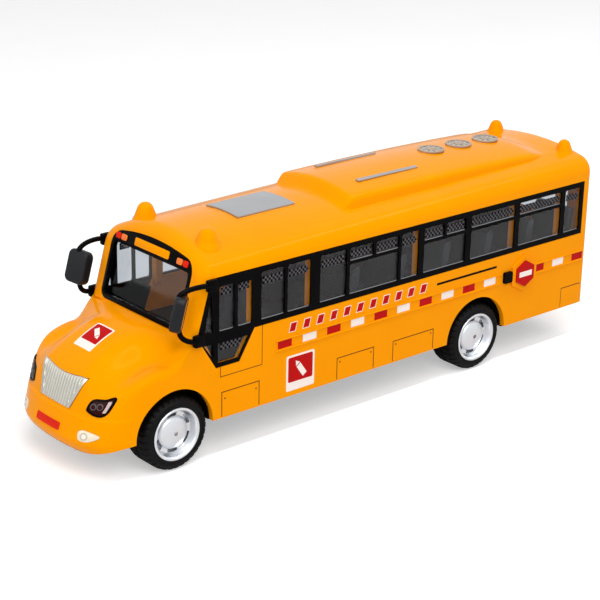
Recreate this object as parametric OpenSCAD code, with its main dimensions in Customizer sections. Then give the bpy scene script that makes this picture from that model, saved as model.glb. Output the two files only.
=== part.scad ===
// Toy school bus with a bonnet, moulded body, glazing, interior and a friction flywheel drive.
// +X points to the nose, +Y to the driver's side, +Z up; the origin lies on the ground below the middle.

/* [Layout] */
// Front axle ahead of the origin
front_axle_x = 90; // [86:1:94]
// Distance between the two axles
wheelbase = 150; // [142:1:158]
// Front axle to the tip of the bumper
front_overhang = 34.6; // [33:0.2:38]
// Rear axle to the back wall
rear_overhang = 64.1; // [61:0.1:70]
// Width across the side walls
body_w = 62; // [58:1:68]
// Height of the lower edge of the side walls
sill_z = 15; // [14:0.5:16]
// Thickness of the body moulding
wall = 2.2; // [1.9:0.1:2.6]

/* [Cabin] */
// Front axle back to the foot of the windscreen
cowl_back = 5.4; // [4:0.2:7]
// Height of the foot of the windscreen
cowl_z = 48.2; // [46:0.2:50]
// Backward lean of the windscreen in degrees
screen_lean = 15.7; // [10:0.1:20]
// Height of the roof ridge at the windscreen
ridge_front_z = 80; // [78:0.2:83]
// Height of the roof ridge at the back wall
ridge_rear_z = 81.4; // [79:0.2:84]
// Crown radius of the roof at the windscreen
crown_front_r = 60; // [52:1:80]
// Crown radius of the roof at the back wall
crown_rear_r = 115; // [90:1:140]
// Radius between a side wall and the roof
roof_corner_r = 7; // [5:0.5:9]
// Radius of the edges round the windscreen
front_edge_r = 4.5; // [3.5:0.5:5.5]
// Radius of the edges round the back wall
rear_edge_r = 3; // [2:0.5:4]

/* [Roof] */
// Length of the cooling-unit hump
hump_l = 105; // [90:1:110]
// Width of the hump at its foot
hump_w = 43; // [38:0.5:46]
// Height of the hump's crest
hump_z = 85.2; // [84:0.1:87]
// Windscreen foot back to the front of the hump
hump_back = 77.8; // [72:0.2:84]
// Height of a roof marker lamp
marker_h = 5.6; // [4:0.2:7]
// Radius of a roof marker lamp at its foot
marker_r = 4.3; // [3:0.1:5]
// Distance between the left and right marker lamps
marker_spacing = 37; // [30:1:42]
// Thickness of the roof hatch, its strips and its fan covers
roof_trim_t = 0.6; // [0.4:0.1:1]

/* [Nose] */
// Height of the grille's upper edge
grille_top_z = 35.2; // [33:0.2:37]
// Bumper tip back to the grille's upper edge
grille_top_back = 7.7; // [6:0.1:9]
// Height at which the bumper reaches furthest forward
bumper_z = 15.5; // [14:0.5:17]
// Height of the bumper's lower edge in the middle
bumper_low_z = 9.3; // [8:0.1:11]
// Width of the raised bonnet
bonnet_w = 49; // [44:1:54]
// Fall of the bonnet's crown at its edge
bonnet_crown = 8; // [6:0.5:10]
// Height of the front wing's crest
fender_z = 39.5; // [37:0.5:42]
// Bumper tip back to where the nose starts to narrow
nose_taper = 24.6; // [20:0.2:30]

/* [Windows] */
// Height of the lower edge of the black window band
band_low_z = 46.3; // [45:0.1:47.5]
// Height of the upper edge of the black window band
band_high_z = 68.9; // [67:0.1:70]
// Black border between the band's edge and a pane
pane_border = 2.2; // [1.5:0.1:3]
// Height of the middle of the cross bar that splits the tall panes
transom_z = 61; // [58:0.2:63]
// Width of the thin bars between panes
bar_w = 1.2; // [0.8:0.1:2]
// Back wall to the rear end of the band
band_rear_gap = 4.8; // [4:0.2:7]
// Thickness of the black window frame
frame_t = 0.6; // [0.5:0.1:0.8]
// Thickness of the clear sheet behind the frame
glazing_t = 0.7; // [0.5:0.1:0.9]
// Corner radius of a pane
pane_r = 0.9; // [0.4:0.1:1.5]

/* [Wheels] */
// Outside radius of a tyre
tyre_r = 13.8; // [13:0.1:14.4]
// Width of a tyre
tyre_w = 12.5; // [10:0.5:13]
// Radius of the wheel's rim
rim_r = 9.9; // [8.5:0.1:11]
// Side wall in to the face of the tyre
wheel_inset = 1; // [0.5:0.1:2]
// Radius of a wheel arch in the body
arch_r = 16.4; // [16:0.1:17.5]
// Height of the middle of a wheel arch
arch_z = 14.8; // [14:0.1:15.5]
// Diameter of the steel axles
axle_d = 3; // [2.5:0.1:3.5]

/* [Drive] */
// Module of the gears
gear_module = 0.5; // [0.48:0.01:0.52]
// Teeth of the large gears
gear_teeth = 32; // [28:1:34]
// Teeth of the small pinions
pinion_teeth = 12; // [12:1:14]
// Diameter of the idler and flywheel shafts
shaft_d = 2; // [1.6:0.1:2.4]
// Radius of the flywheel
flywheel_r = 9; // [7:0.1:9.2]
// Width of the flywheel
flywheel_w = 4.5; // [3:0.1:5]
// Wall of the gearbox
gearbox_wall = 1.4; // [1.2:0.1:1.8]

/* [Inside] */
// Height of the floor's underside
floor_z = 34; // [33.6:0.1:35]
// Thickness of the floor
floor_t = 1.4; // [1:0.1:2]
// Distance between seat rows
seat_pitch = 24; // [22:0.5:28]
// Width of one seat
seat_w = 18; // [15:0.5:20]
// Height of a seat's back above the floor
seat_h = 21; // [16:0.5:24]

/* [Fits] */
// Gap between pieces that sit in each other
seat_gap = 0.15; // [0.1:0.01:0.3]
// Radial gap of a press fit
press_gap = 0.02; // [0.01:0.01:0.04]
// Radial gap of a running shaft
run_gap = 0.05; // [0.02:0.01:0.1]
// Gap between gear flanks
backlash = 0.14; // [0.1:0.01:0.2]

/* [Hidden] */
half_w = body_w / 2;
rear_axle_x = front_axle_x - wheelbase;
rear_x = rear_axle_x - rear_overhang;
nose_x = front_axle_x + front_overhang;
cowl_x = front_axle_x - cowl_back;
grille_top_x = nose_x - grille_top_back;
taper_x = nose_x - nose_taper;
cabin_l = cowl_x - rear_x;

// Depth of the pocket for a window frame and its clear sheet
pocket_t = frame_t + glazing_t;
// Rows of marker lamps behind the windscreen foot and ahead of the back wall
marker_front_x = cowl_x - 17;
marker_rear_x = rear_x + 7;

// Chassis plate and wheel wells
plate_drop = 1;
plate_low_z = sill_z - plate_drop;
plate_t = 2.5;
plate_top_z = plate_low_z + plate_t;
plate_half_w = half_w - wall - seat_gap;
well_r = arch_r + 0.8;
well_t = 1.2;
well_outer_y = half_w - wall - 1.8;
tyre_face_y = half_w - wheel_inset;
well_inner_y = tyre_face_y - tyre_w - 2.2;
arch_shift = 1;
axle_z = tyre_r;
axle_r = axle_d / 2;

// Screws and their posts
post_r = 3.4;
post_y = half_w - wall - post_r + 0.4;
screw_r = 1.2;
screw_head_r = 2.3;
screw_head_t = 1.2;
screw_l = 13;
post_places = [[front_axle_x + 12, 0], [front_axle_x - 62, post_y], [front_axle_x - 62, -post_y],
               [rear_x + 14, post_y], [rear_x + 14, -post_y]];

// Gear train: rear axle, idler, flywheel
centre_dist = gear_module * (gear_teeth + pinion_teeth) / 2;
idler_angle = 13;
flywheel_angle = 18;
idler_x = rear_axle_x + centre_dist * cos(idler_angle);
idler_z = axle_z + centre_dist * sin(idler_angle);
flywheel_x = idler_x + centre_dist * cos(flywheel_angle);
flywheel_z = idler_z + centre_dist * sin(flywheel_angle);
addendum = 0.8 * gear_module;
dedendum = 1.2 * gear_module;
gear_tip_r = gear_module * gear_teeth / 2 + addendum;
shaft_r = shaft_d / 2;
axle_gear_y = [-3, 1];
idler_gear_y = [2.4, 5.4];
flywheel_y = [-4.6 - flywheel_w, -4.6];
box_gap = 0.8;
box_y = [flywheel_y[0] - box_gap - gearbox_wall, idler_gear_y[1] + 1 + gearbox_wall];
box_x = [rear_axle_x - gear_tip_r - box_gap - gearbox_wall, flywheel_x + flywheel_r + box_gap + gearbox_wall];
box_z = [axle_z - gear_tip_r - box_gap - gearbox_wall, flywheel_z + flywheel_r + box_gap + gearbox_wall];
ear_l = 6;
ear_t = 2;

// Window band: posts of the body moulding split it into bays, listed from the nose
door_front_x = cowl_x - 12.6;
door_rear_x = cowl_x - 27.4;
bay_first_x = door_rear_x - 4.2;
bay_widths = [23.2, 49.9, 50.7];
post_widths = [4.5, 2.8, 2.5];
band_rear_x = rear_x + band_rear_gap;
last_pane_w = 9.2;
last_post_w = 2.5;
bay2_x = bay_first_x - bay_widths[0] - post_widths[0];
bay3_x = bay2_x - bay_widths[1] - post_widths[1];
bay4_x = bay3_x - bay_widths[2] - post_widths[2];
last_bay_x = band_rear_x + pane_border + last_pane_w;
bays = [[bay_first_x, bay_first_x - bay_widths[0]], [bay2_x, bay2_x - bay_widths[1]],
        [bay3_x, bay3_x - bay_widths[2]], [bay4_x, last_bay_x + last_post_w],
        [last_bay_x, band_rear_x + pane_border]];
pane_low_z = band_low_z + pane_border;
pane_high_z = band_high_z - pane_border;
door_sill_z = 35;

// Each pane is [front x, rear x, low z, high z]
panes = concat(
    [[door_front_x, door_front_x - 6.8, pane_low_z, pane_high_z - 1.4],
     [door_rear_x + 6.5, door_rear_x, pane_low_z, pane_high_z - 1.9]],
    split_row(bays[0][0], bays[0][1], 2, pane_low_z, pane_high_z),
    [[bay2_x, bay2_x - 13, pane_low_z, pane_high_z]],
    tall_panes(bay2_x - 14.5, bay2_x - 39.5, 2),
    [[bay2_x - 40.8, bays[1][1], pane_low_z, pane_high_z]],
    tall_panes(bay3_x, bay3_x - 22.8, 2),
    tall_panes(bay3_x - 25.7, bays[2][1], 1),
    tall_panes(bays[3][0], bays[3][1], 1),
    [[bays[4][0], bays[4][1], pane_low_z, pane_high_z]]);

$fn = 48;

// Small helpers for curves
function clamp01(t) = min(1, max(0, t));
function ease(t) = let (c = clamp01(t)) c * c * (3 - 2 * c);
function mix(a, b, t) = a + (b - a) * t;
function soft_min(a, b, k) = let (h = clamp01(0.5 + 0.5 * (b - a) / k)) mix(b, a, h) - k * h * (1 - h);
function soft_max(a, b, k) = -soft_min(-a, -b, k);

// Panes side by side in one row, and a tall bay with its transom lights
function split_row(front, rear, count, low, high) =
    let (w = (front - rear - (count - 1) * bar_w) / count)
    [for (i = [0:count - 1]) [front - i * (w + bar_w), front - i * (w + bar_w) - w, low, high]];
function tall_panes(front, rear, count) =
    concat([[front, rear, pane_low_z, transom_z - bar_w / 2]],
           split_row(front, rear, count, transom_z + bar_w / 2, pane_high_z));

// Surface of the nose: bonnet between two wings, and a front that is a superellipse seen from above
hood_sweep = 2.3;
front_sweep = 1.14;
plan_power = 2.5;
crown_power = 2.6;
crown_run = 14;
wing_blend = 5;
blend = 4;
edge_blend = 1.5;
shelf_z = cowl_z + 0.8;
hood_end_z = grille_top_z + 0.6;
function hood_z(x) =
    let (t = max(0, (x - cowl_x) / (grille_top_x - cowl_x)))
    shelf_z - (shelf_z - hood_end_z) * pow(t, hood_sweep);
// The crown grows behind the cowl and flattens again towards the grille
function crown_share(x) = ease((x - cowl_x + 2) / crown_run) * mix(1, 0.45, ease((x - grille_top_x + 16) / 16));
function bonnet_top(x, y) = hood_z(x) - bonnet_crown * crown_share(x) * pow(2 * abs(y) / bonnet_w, crown_power);
function fender_top(x) = fender_z - pow((x - front_axle_x - 5) / 7, 2);
function nose_top(x, y) = soft_max(bonnet_top(x, y), fender_top(x), wing_blend);
// Ledge where the bumper stands proud of the grille and the lamps
ledge_z = bumper_z + 8.5;
ledge_step = 0.8;
ledge_h = 1.4;
grille_lean = (grille_top_back - 0.2 - ledge_step) / pow(grille_top_z - bumper_z, front_sweep);
bumper_tuck = (nose_x - front_axle_x - 30) / pow(bumper_z - bumper_low_z, 2);
function nose_reach(z) =
    nose_x - ledge_step * ease((z - ledge_z) / ledge_h + 0.5)
    - grille_lean * pow(max(0, z - bumper_z), front_sweep) - bumper_tuck * pow(max(0, bumper_z - z), 2);
function nose_front(y, z) =
    let (side = 1 - pow(min(1, abs(y) / half_w), plan_power))
    taper_x + (nose_reach(z) - taper_x) * pow(max(0, side), 1 / plan_power);
function nose_low(y) = mix(bumper_low_z, sill_z, pow(min(1, abs(y) / half_w), 3));
// Edges are sharp where the nose meets the door and round further forward
function side_blend(x) = mix(0.6, blend, ease((x - cowl_x + 3) / 12));
// The bonnet ends in a crisp edge above the grille and rolls over beside it
function front_blend(y) = mix(edge_blend, blend, ease((abs(y) - grille_high_half + 1) / 8));
function nose_depth(p, inset) =
    let (top = nose_top(p[0], p[1]) - p[2], front = nose_front(p[1], p[2]) - p[0],
         side = half_w - abs(p[1]))
    soft_min(soft_min(top, front, front_blend(p[1])), side, side_blend(p[0])) - inset;

// The nose is star-shaped about this point, so each ray meets its skin once
nose_mid = [front_axle_x + 4, 0, 24];
nose_spread = [36, half_w + 1, 26];
nose_back_x = cowl_x - 26;
skin_across = 28;
inner_across = 12;
function nose_inside(p, inset) =
    min(nose_depth(p, inset), p[0] - nose_back_x + 4 * inset, p[2] - nose_low(p[1]) + 6 * inset);
function ray_hit(dir, inset, low, high, steps) =
    steps == 0 ? nose_mid + dir * low
    : let (m = (low + high) / 2)
      nose_inside(nose_mid + dir * m, inset) > 0 ? ray_hit(dir, inset, m, high, steps - 1)
                                                 : ray_hit(dir, inset, low, m, steps - 1);
// Rings are fine where the skin shows, with a pair of points at the ledge, and coarse under and behind it
ring_angles = concat([for (i = [0:4]) mix(-28, -6.4, i / 4)], [-1.4, 1.4],
                     [for (i = [0:21]) mix(6.5, 130, i / 22)], [for (i = [0:6]) mix(130, 332, i / 7)]);
function nose_ring(across, inset) =
    [for (a = ring_angles)
        ray_hit([nose_spread[0] * cos(a) * cos(across), nose_spread[1] * sin(across),
                 nose_spread[2] * sin(a) * cos(across)], inset, 0, 2.4, 20)];

// Closed skin through rings of equal point counts
module loft(rings) {
    n = len(rings[0]);
    points = [for (r = rings) each r];
    sides = [for (j = [0:len(rings) - 2], i = [0:n - 1])
                each [[j * n + i, j * n + (i + 1) % n, (j + 1) * n + (i + 1) % n],
                      [j * n + i, (j + 1) * n + (i + 1) % n, (j + 1) * n + i]]];
    first = [for (i = [n - 1:-1:0]) i];
    last = [for (i = [0:n - 1]) (len(rings) - 1) * n + i];
    polyhedron(points, concat([first], sides, [last]));
}

module nose_solid(inset, across) {
    loft([for (j = [0:across]) nose_ring(mix(-86, 86, j / across), inset)]);
}

// Plate over a window [y low, y high, z low, z high] of the nose, between two depths below its skin
patch_steps = 9;
function skin_x(y, z, inset, low, high, steps) =
    steps == 0 ? low
    : let (m = (low + high) / 2)
      nose_depth([m, y, z], inset) > 0 ? skin_x(y, z, inset, m, high, steps - 1)
                                       : skin_x(y, z, inset, low, m, steps - 1);
function patch_row(window, z, inset) =
    [for (i = [0:patch_steps])
        let (y = mix(window[0], window[1], i / patch_steps))
        [skin_x(y, z, inset, taper_x - nose_taper, nose_x + 4, 20), y, z]];
module nose_patch(window, outer, inner) {
    heights = [for (j = [0:patch_steps]) mix(window[3], window[2], j / patch_steps)];
    loft([for (z = heights)
        let (back = patch_row(window, z, inner))
        concat(patch_row(window, z, outer), [for (i = [patch_steps:-1:0]) back[i]])]);
}

// Cross-section of the cabin, drawn in from the outer skin by inset
corner_steps = 5;
crown_steps = 10;
function along(x) = clamp01((cowl_x - x) / cabin_l);
function ridge_z(x) = mix(ridge_front_z, ridge_rear_z, along(x));
function crown_r(x) = 1 / mix(1 / crown_front_r, 1 / crown_rear_r, along(x));
function cabin_section(x, inset, low) =
    let (w = half_w - inset, rc = max(0.6, roof_corner_r - inset), r = crown_r(x) - inset,
         top = ridge_z(x) - inset, zc = top - r + sqrt(pow(r - rc, 2) - pow(w - rc, 2)),
         a = asin((w - rc) / (r - rc)))
    concat([[-w, low]],
           [for (i = [0:corner_steps - 1]) let (t = mix(90, a, i / corner_steps))
               [-(w - rc) - rc * sin(t), zc + rc * cos(t)]],
           [for (i = [0:crown_steps]) let (t = mix(-a, a, i / crown_steps))
               [r * sin(t), top - r + r * cos(t)]],
           [for (i = [corner_steps - 1:-1:0]) let (t = mix(90, a, i / corner_steps))
               [(w - rc) + rc * sin(t), zc + rc * cos(t)]],
           [[w, low]]);
function edge_inset(depth, r) = depth >= r ? 0 : r - sqrt(r * r - pow(r - depth, 2));
function leaning(depth) = ease((44 - depth) / 34);
function front_ring(depth, inset, low) =
    [for (p = cabin_section(cowl_x - depth, inset, low))
        [cowl_x - depth - leaning(depth) * tan(screen_lean) * (p[1] - cowl_z), p[0], p[1]]];
function rear_ring(depth, inset, low) =
    [for (p = cabin_section(rear_x + depth, inset, low)) [rear_x + depth, p[0], p[1]]];

// Stations along the cabin: shares of its length, then depths behind the windscreen foot
cabin_shares = [0.3, 0.6];
screen_depths = [44, 32, 24, 16, 10];
module cabin_solid() {
    rear_steps = [for (t = [0, 0.12, 0.4, 1]) t * rear_edge_r];
    front_steps = [for (t = [1, 0.55, 0.25, 0.06, 0]) t * front_edge_r];
    loft(concat(
        [for (d = rear_steps) rear_ring(d, edge_inset(d, rear_edge_r), sill_z)],
        [for (t = cabin_shares) rear_ring(t * cabin_l, 0, sill_z)],
        [for (d = screen_depths) front_ring(d, 0, sill_z)],
        [for (d = front_steps) front_ring(d, edge_inset(d, front_edge_r), sill_z)]));
}

module cabin_hollow() {
    low = sill_z - 20;
    loft(concat([rear_ring(wall, wall, low)],
                [for (t = cabin_shares) rear_ring(t * cabin_l, wall, low)],
                [for (d = concat(screen_depths, [wall])) front_ring(d, wall, low)]));
}

// Wedge ahead of the door, where the cabin gives way to the front wing
wedge_x = front_axle_x - 14;
wedge_z = cowl_z - 0.4;
module wing_wedge(back) {
    translate([-back, half_w + 5, 0]) rotate([90, 0, 0]) linear_extrude(body_w + 10)
        polygon([[cowl_x - 1.6, wedge_z], [cowl_x + 20, wedge_z], [cowl_x + 20, -20], [wedge_x, -20],
                 [wedge_x, wedge_z - 12]]);
}

// Raised cooling unit on the roof
hump_front_x = cowl_x - hump_back;
hump_crown_r = 75;
function roof_z(x, y) = ridge_z(x) - y * y / (2 * crown_r(x));
function hump_rise(x) =
    min(ease((hump_front_x - x) / 6.5), ease((x - hump_front_x + hump_l + 14) / 16));
function hump_crest(x) = hump_z - 1.1 * pow((x - hump_front_x + 0.4 * hump_l) / (0.6 * hump_l), 2);
function hump_top(x, y) =
    mix(roof_z(x, y) - 0.7, hump_crest(x) - y * y / (2 * hump_crown_r), hump_rise(x));
// Right half of the section as [share of the half width, drop], and the whole of it
hump_half = [[0.28, 0], [0.57, 0], [0.86, 0], [0.92, -0.5], [0.955, -1.6], [1, -6.2], [1, -14]];
hump_section = concat([for (i = [len(hump_half) - 1:-1:0]) [-hump_half[i][0], hump_half[i][1]]],
                      [[0, 0]], hump_half);
module roof_hump() {
    tail = [for (d = [13, 9, 5, 0]) hump_l + d];
    middle = [for (t = [0.7, 0.4, 0.2]) t * hump_l];
    loft([for (s = concat(tail, middle, [7, 5, 3.5, 2, 0.6]))
        let (x = hump_front_x - s)
        [for (p = hump_section)
            let (y = p[0] * (hump_w / 2 - 1.2 * (1 - hump_rise(x))))
            [x, y, hump_top(x, y) + p[1] * mix(0.6, 1, hump_rise(x))]]]);
}

// Pointed marker lamp moulded on the roof
module marker_lamp() {
    rotate_extrude($fn = 16)
        polygon([[0, -3], [1.35 * marker_r, -3], [marker_r, 0], [0.7 * marker_r, 0.55 * marker_h],
                 [0.42 * marker_r, 0.91 * marker_h], [0, marker_h]]);
}

// Frames of reference for flat pieces: drawn flat, then stood on a wall
module on_left(depth = 0) {
    translate([0, half_w - depth, 0]) rotate([90, 0, 0]) children();
}
module on_right(depth = 0) {
    mirror([0, 1, 0]) on_left(depth) children();
}
module on_screen(depth = 0) {
    translate([cowl_x, 0, cowl_z]) rotate([0, -screen_lean, 0]) translate([-depth, 0, 0])
        rotate([90, 0, 90]) children();
}
module on_back(depth = 0) {
    translate([rear_x + depth, 0, 0]) rotate([90, 0, -90]) children();
}

// Rectangle with true round corners, between two opposite corners
module round_rect(x0, x1, z0, z1, r) {
    translate([x0 + r, z0]) square([x1 - x0 - 2 * r, z1 - z0]);
    translate([x0, z0 + r]) square([x1 - x0, z1 - z0 - 2 * r]);
    for (x = [x0 + r, x1 - r], z = [z0 + r, z1 - r])
        translate([x, z]) circle(r, $fn = 24);
}

// Outline of a side window band with the door light that drops ahead of it
pillar_top_x = cowl_x - 3.4 - tan(screen_lean) * (band_high_z - cowl_z);
pillar_low_x = cowl_x - 3.1;
module band_outline(shrink) {
    s = shrink;
    polygon([[band_rear_x + s, band_low_z + s], [band_rear_x + s, band_high_z - s],
             [pillar_top_x - s, band_high_z - s], [pillar_low_x - s, cowl_z - 0.2],
             [cowl_x - 11.2 - s, door_sill_z + s], [cowl_x - 21.8 + s, door_sill_z + s],
             [cowl_x - 28.7 + s, band_low_z + s]]);
}

// Lights of the driver's door below the band, and the quarter light ahead of it
quarter_light = [[cowl_x - 9.1, pane_high_z - 3.2], [cowl_x - 6.2, pane_low_z + 0.8],
                 [cowl_x - 9.8, pane_low_z + 0.2]];
door_low_light = [[cowl_x - 12, 36.6], [cowl_x - 12, 44.2], [cowl_x - 26.2, 44.2], [cowl_x - 21.4, 36.6]];
wing_light = [[cowl_x - 10, 39], [cowl_x - 10, 44.6], [cowl_x - 5.8, 44.6]];

module window_frame() {
    difference() {
        linear_extrude(frame_t) band_outline(seat_gap);
        translate([0, 0, -1]) linear_extrude(frame_t + 2) {
            for (p = panes)
                round_rect(p[1], p[0], p[2], p[3], pane_r);
            polygon(quarter_light);
            polygon(door_low_light);
            polygon(wing_light);
        }
    }
}

module window_sheet() {
    linear_extrude(glazing_t - seat_gap / 3) band_outline(seat_gap);
}

// Openings of the body moulding behind the window band
bay_margin = 0.6;
module bay_openings() {
    for (b = bays)
        translate([b[1] - bay_margin, pane_low_z - bay_margin])
            square([b[0] - b[1] + 2 * bay_margin, pane_high_z - pane_low_z + 2 * bay_margin]);
    polygon([[door_rear_x - bay_margin, pane_low_z - bay_margin], [door_rear_x - bay_margin, pane_high_z],
             [cowl_x - 10, pane_high_z], [cowl_x - 5.8, pane_low_z - bay_margin], [cowl_x - 11.8, 36.2],
             [cowl_x - 21, 36.2]]);
}

// Inner posts that stiffen the body between bays
post_depth = 2;
module bay_posts() {
    ends = [[door_rear_x, bays[0][0]], [bays[0][1], bay2_x], [bays[1][1], bay3_x], [bays[2][1], bay4_x],
            [bays[3][1], last_bay_x]];
    for (e = ends)
        translate([e[1] + bay_margin, band_low_z - 6])
            square([e[0] - e[1] - 2 * bay_margin, band_high_z - band_low_z + 9]);
}

// Windscreen outline with its arched top
screen_half_w = half_w - front_edge_r - 2.3;
screen_h = (ridge_front_z - front_edge_r + 0.3 - cowl_z) / cos(screen_lean);
arch_rise = 3;
screen_arch_r = (pow(screen_half_w, 2) + pow(arch_rise, 2)) / (2 * arch_rise);
module screen_outline(shrink) {
    s = shrink;
    intersection() {
        round_rect(-screen_half_w + s, screen_half_w - s, 0.4 + s, screen_h - s, 3.5);
        translate([0, screen_h - screen_arch_r]) circle(screen_arch_r - s, $fn = 96);
    }
}
screen_side_border = 1.8;
screen_low_border = 1.9;
header_h = 6.6;
module screen_light() {
    round_rect(-screen_half_w + screen_side_border, screen_half_w - screen_side_border,
               0.4 + screen_low_border, screen_h - header_h, 1.5);
}

// Rear window
back_half_w = half_w - 9;
module back_outline(shrink) {
    round_rect(-back_half_w + shrink, back_half_w - shrink, band_low_z + shrink, band_high_z - shrink, 4);
}

// Lamp and plate outlines on the nose, seen along X as [y, z]
grille_low_half = 8.9;
grille_high_half = 13.3;
grille_low_z = grille_top_z - 10.2;
grille_high_z = grille_top_z + 0.8;
grille_dip_r = 58;
module grille_outline(grow) {
    g = grow;
    difference() {
        polygon([[-grille_low_half - g, grille_low_z - g], [grille_low_half + g, grille_low_z - g],
                 [grille_high_half + g, grille_high_z + g], [-grille_high_half - g, grille_high_z + g]]);
        translate([0, grille_top_z + grille_dip_r + g]) circle(grille_dip_r, $fn = 96);
    }
}
headlamp_y = half_w - 14.7;
module headlamp_outline(grow) {
    g = grow;
    translate([headlamp_y, 0])
        polygon([[-g, 25.8], [0.9 - g, 29 + g], [4.3, 30.6 + g], [9.6 + g, 32.6 + g], [8.9 + g, 28],
                 [7.1 + g, 25], [4.1, 23.8 - g], [1.3 - g, 24.4 - g]]);
}
fog_y = half_w - 15.6;
module fog_outline(grow) {
    g = grow;
    translate([fog_y, 0])
        polygon([[-g, 16.4 - g], [-g, 19.6 + g], [3.2, 20.2 + g], [8.8 + g, 18.4], [5.2, 15.9 - g],
                 [2, 15.4 - g]]);
}
plate_half = 6.9;
plate_z = [16.9, 19.5];
module number_outline(grow) {
    translate([-plate_half - grow, plate_z[0] - grow])
        square([2 * plate_half + 2 * grow, plate_z[1] - plate_z[0] + 2 * grow]);
}
lamp_t = 1.1;
module along_x() {
    translate([taper_x, 0, 0]) rotate([90, 0, 90]) linear_extrude(nose_taper + 6) children();
}
// Windows of the nose that hold the grille, the lamps and the plate
window_rim = 1.2;
grille_window = [-grille_high_half - window_rim, grille_high_half + window_rim,
                 grille_low_z - window_rim, grille_high_z + window_rim];
headlamp_window = [headlamp_y - window_rim, headlamp_y + 9.6 + window_rim,
                   23.8 - window_rim, 32.6 + window_rim];
fog_window = [fog_y - window_rim, fog_y + 8.8 + window_rim, 15.4 - window_rim, 20.2 + window_rim];
number_window = [-plate_half - window_rim, plate_half + window_rim,
                 plate_z[0] - window_rim, plate_z[1] + window_rim];

// A layer of trim that follows the skin of the nose between two depths, cut to an outline
trim_proud = 0.35;
module nose_trim(window, outer = -trim_proud, inner = lamp_t - seat_gap) {
    intersection() {
        along_x() children();
        nose_patch(window, outer, inner);
    }
}
module nose_pockets() {
    nose_trim(grille_window, -2, lamp_t) grille_outline(seat_gap);
    nose_trim(number_window, -2, lamp_t) number_outline(seat_gap);
    for (s = [0, 1])
        mirror([0, s, 0]) {
            nose_trim(headlamp_window, -2, lamp_t) headlamp_outline(seat_gap);
            nose_trim(fog_window, -2, lamp_t) fog_outline(seat_gap);
        }
}

// Stop sign plaque on the driver's side
stop_x = rear_axle_x - 24.8;
stop_z = 36.3;
stop_half_w = 5;
stop_half_h = 5.6;
plaque_pad = 0.9;
plaque_rim = 2;
hinge_w = 4.6;
hinge_x = stop_x + stop_half_w + plaque_rim + seat_gap;
module hexagon(grow) {
    w = stop_half_w + grow;
    h = stop_half_h + 1.1 * grow;
    translate([stop_x, stop_z])
        polygon([[0, -h], [w, -h / 2], [w, h / 2], [0, h], [-w, h / 2], [-w, -h / 2]]);
}

// Raised strip below the windows
rail_front_x = cowl_x - 38.6;
rail_z = [34.1, 38.8];
rail_rib = 0.7;
rail_proud = 0.45;
module rub_rail() {
    for (z = [rail_z[0], rail_z[1] - rail_rib])
        translate([rear_x + 2, z]) square([rail_front_x - rear_x - 2, rail_rib]);
}

// Break in the strip for the stop sign and its hinge
module plaque_gap() {
    low_x = stop_x - stop_half_w - plaque_rim;
    translate([low_x, rail_z[0] - 1]) square([hinge_x + hinge_w + 1 - low_x, rail_z[1] - rail_z[0] + 2]);
}

// Tail lamps on the back wall
tail_y = half_w - 8;
tail_z = [26, 36];
tail_r = [3.6, 3];
tail_dome = 0.4;

module body_shell() color("orange") {
    difference() {
        union() {
            difference() {
                cabin_solid();
                wing_wedge(0);
            }
            nose_solid(0, skin_across);
            roof_hump();
            for (x = [marker_front_x, marker_rear_x], y = [-0.5, 0.5] * marker_spacing)
                translate([x, y, roof_z(x, y)]) marker_lamp();
            on_left(-plaque_pad) linear_extrude(plaque_pad + 0.5) hexagon(plaque_rim);
            on_left(-rail_proud) linear_extrude(rail_proud + 0.5) difference() {
                rub_rail();
                plaque_gap();
            }
            on_right(-rail_proud) linear_extrude(rail_proud + 0.5) rub_rail();
        }
        difference() {
            cabin_hollow();
            wing_wedge(wall + 1);
            on_left(wall) linear_extrude(post_depth) bay_posts();
            on_right(wall) linear_extrude(post_depth) bay_posts();
            screw_posts();
        }
        difference() {
            nose_solid(wall, inner_across);
            screw_posts();
        }
        for (p = post_places)
            translate([p[0], p[1], plate_top_z - 1]) cylinder(r = screw_r + seat_gap, h = screw_l, $fn = 24);
        for (x = [front_axle_x, rear_axle_x], s = [-1, 1])
            translate([x + arch_shift, s * half_w, arch_z]) rotate([90, 0, 0])
                cylinder(r = arch_r, h = 2 * (tyre_w + wheel_inset + 2), center = true, $fn = 64);
        for (s = [0, 1])
            mirror([0, s, 0]) {
                on_left(-1) linear_extrude(pocket_t + 1) band_outline(0);
                on_left(-1) linear_extrude(wall + 2) bay_openings();
            }
        on_screen(wall + 1.5) linear_extrude(wall + 4) screen_outline(0);
        on_back(pocket_t) linear_extrude(pocket_t + 2) back_outline(0);
        on_back(wall + 1) linear_extrude(wall + 3) back_outline(pane_border);
        for (s = [-1, 1], i = [0, 1])
            translate([rear_x - 1, s * tail_y, tail_z[i]]) rotate([0, 90, 0])
                cylinder(r = tail_r[i] + seat_gap, h = lamp_t + 1, $fn = 32);
        nose_pockets();
        translate([nose_back_x - 10, -half_w - 1, 0])
            cube([front_axle_x - nose_back_x + 10, body_w + 2, sill_z]);
    }
}

// Posts for the chassis screws, carried by the side walls and the bonnet
module screw_posts() {
    for (p = post_places)
        translate([p[0], p[1], plate_top_z])
            cylinder(r = post_r, h = (p[1] == 0 ? cowl_z : floor_z) - plate_top_z, $fn = 24);
}

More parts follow.
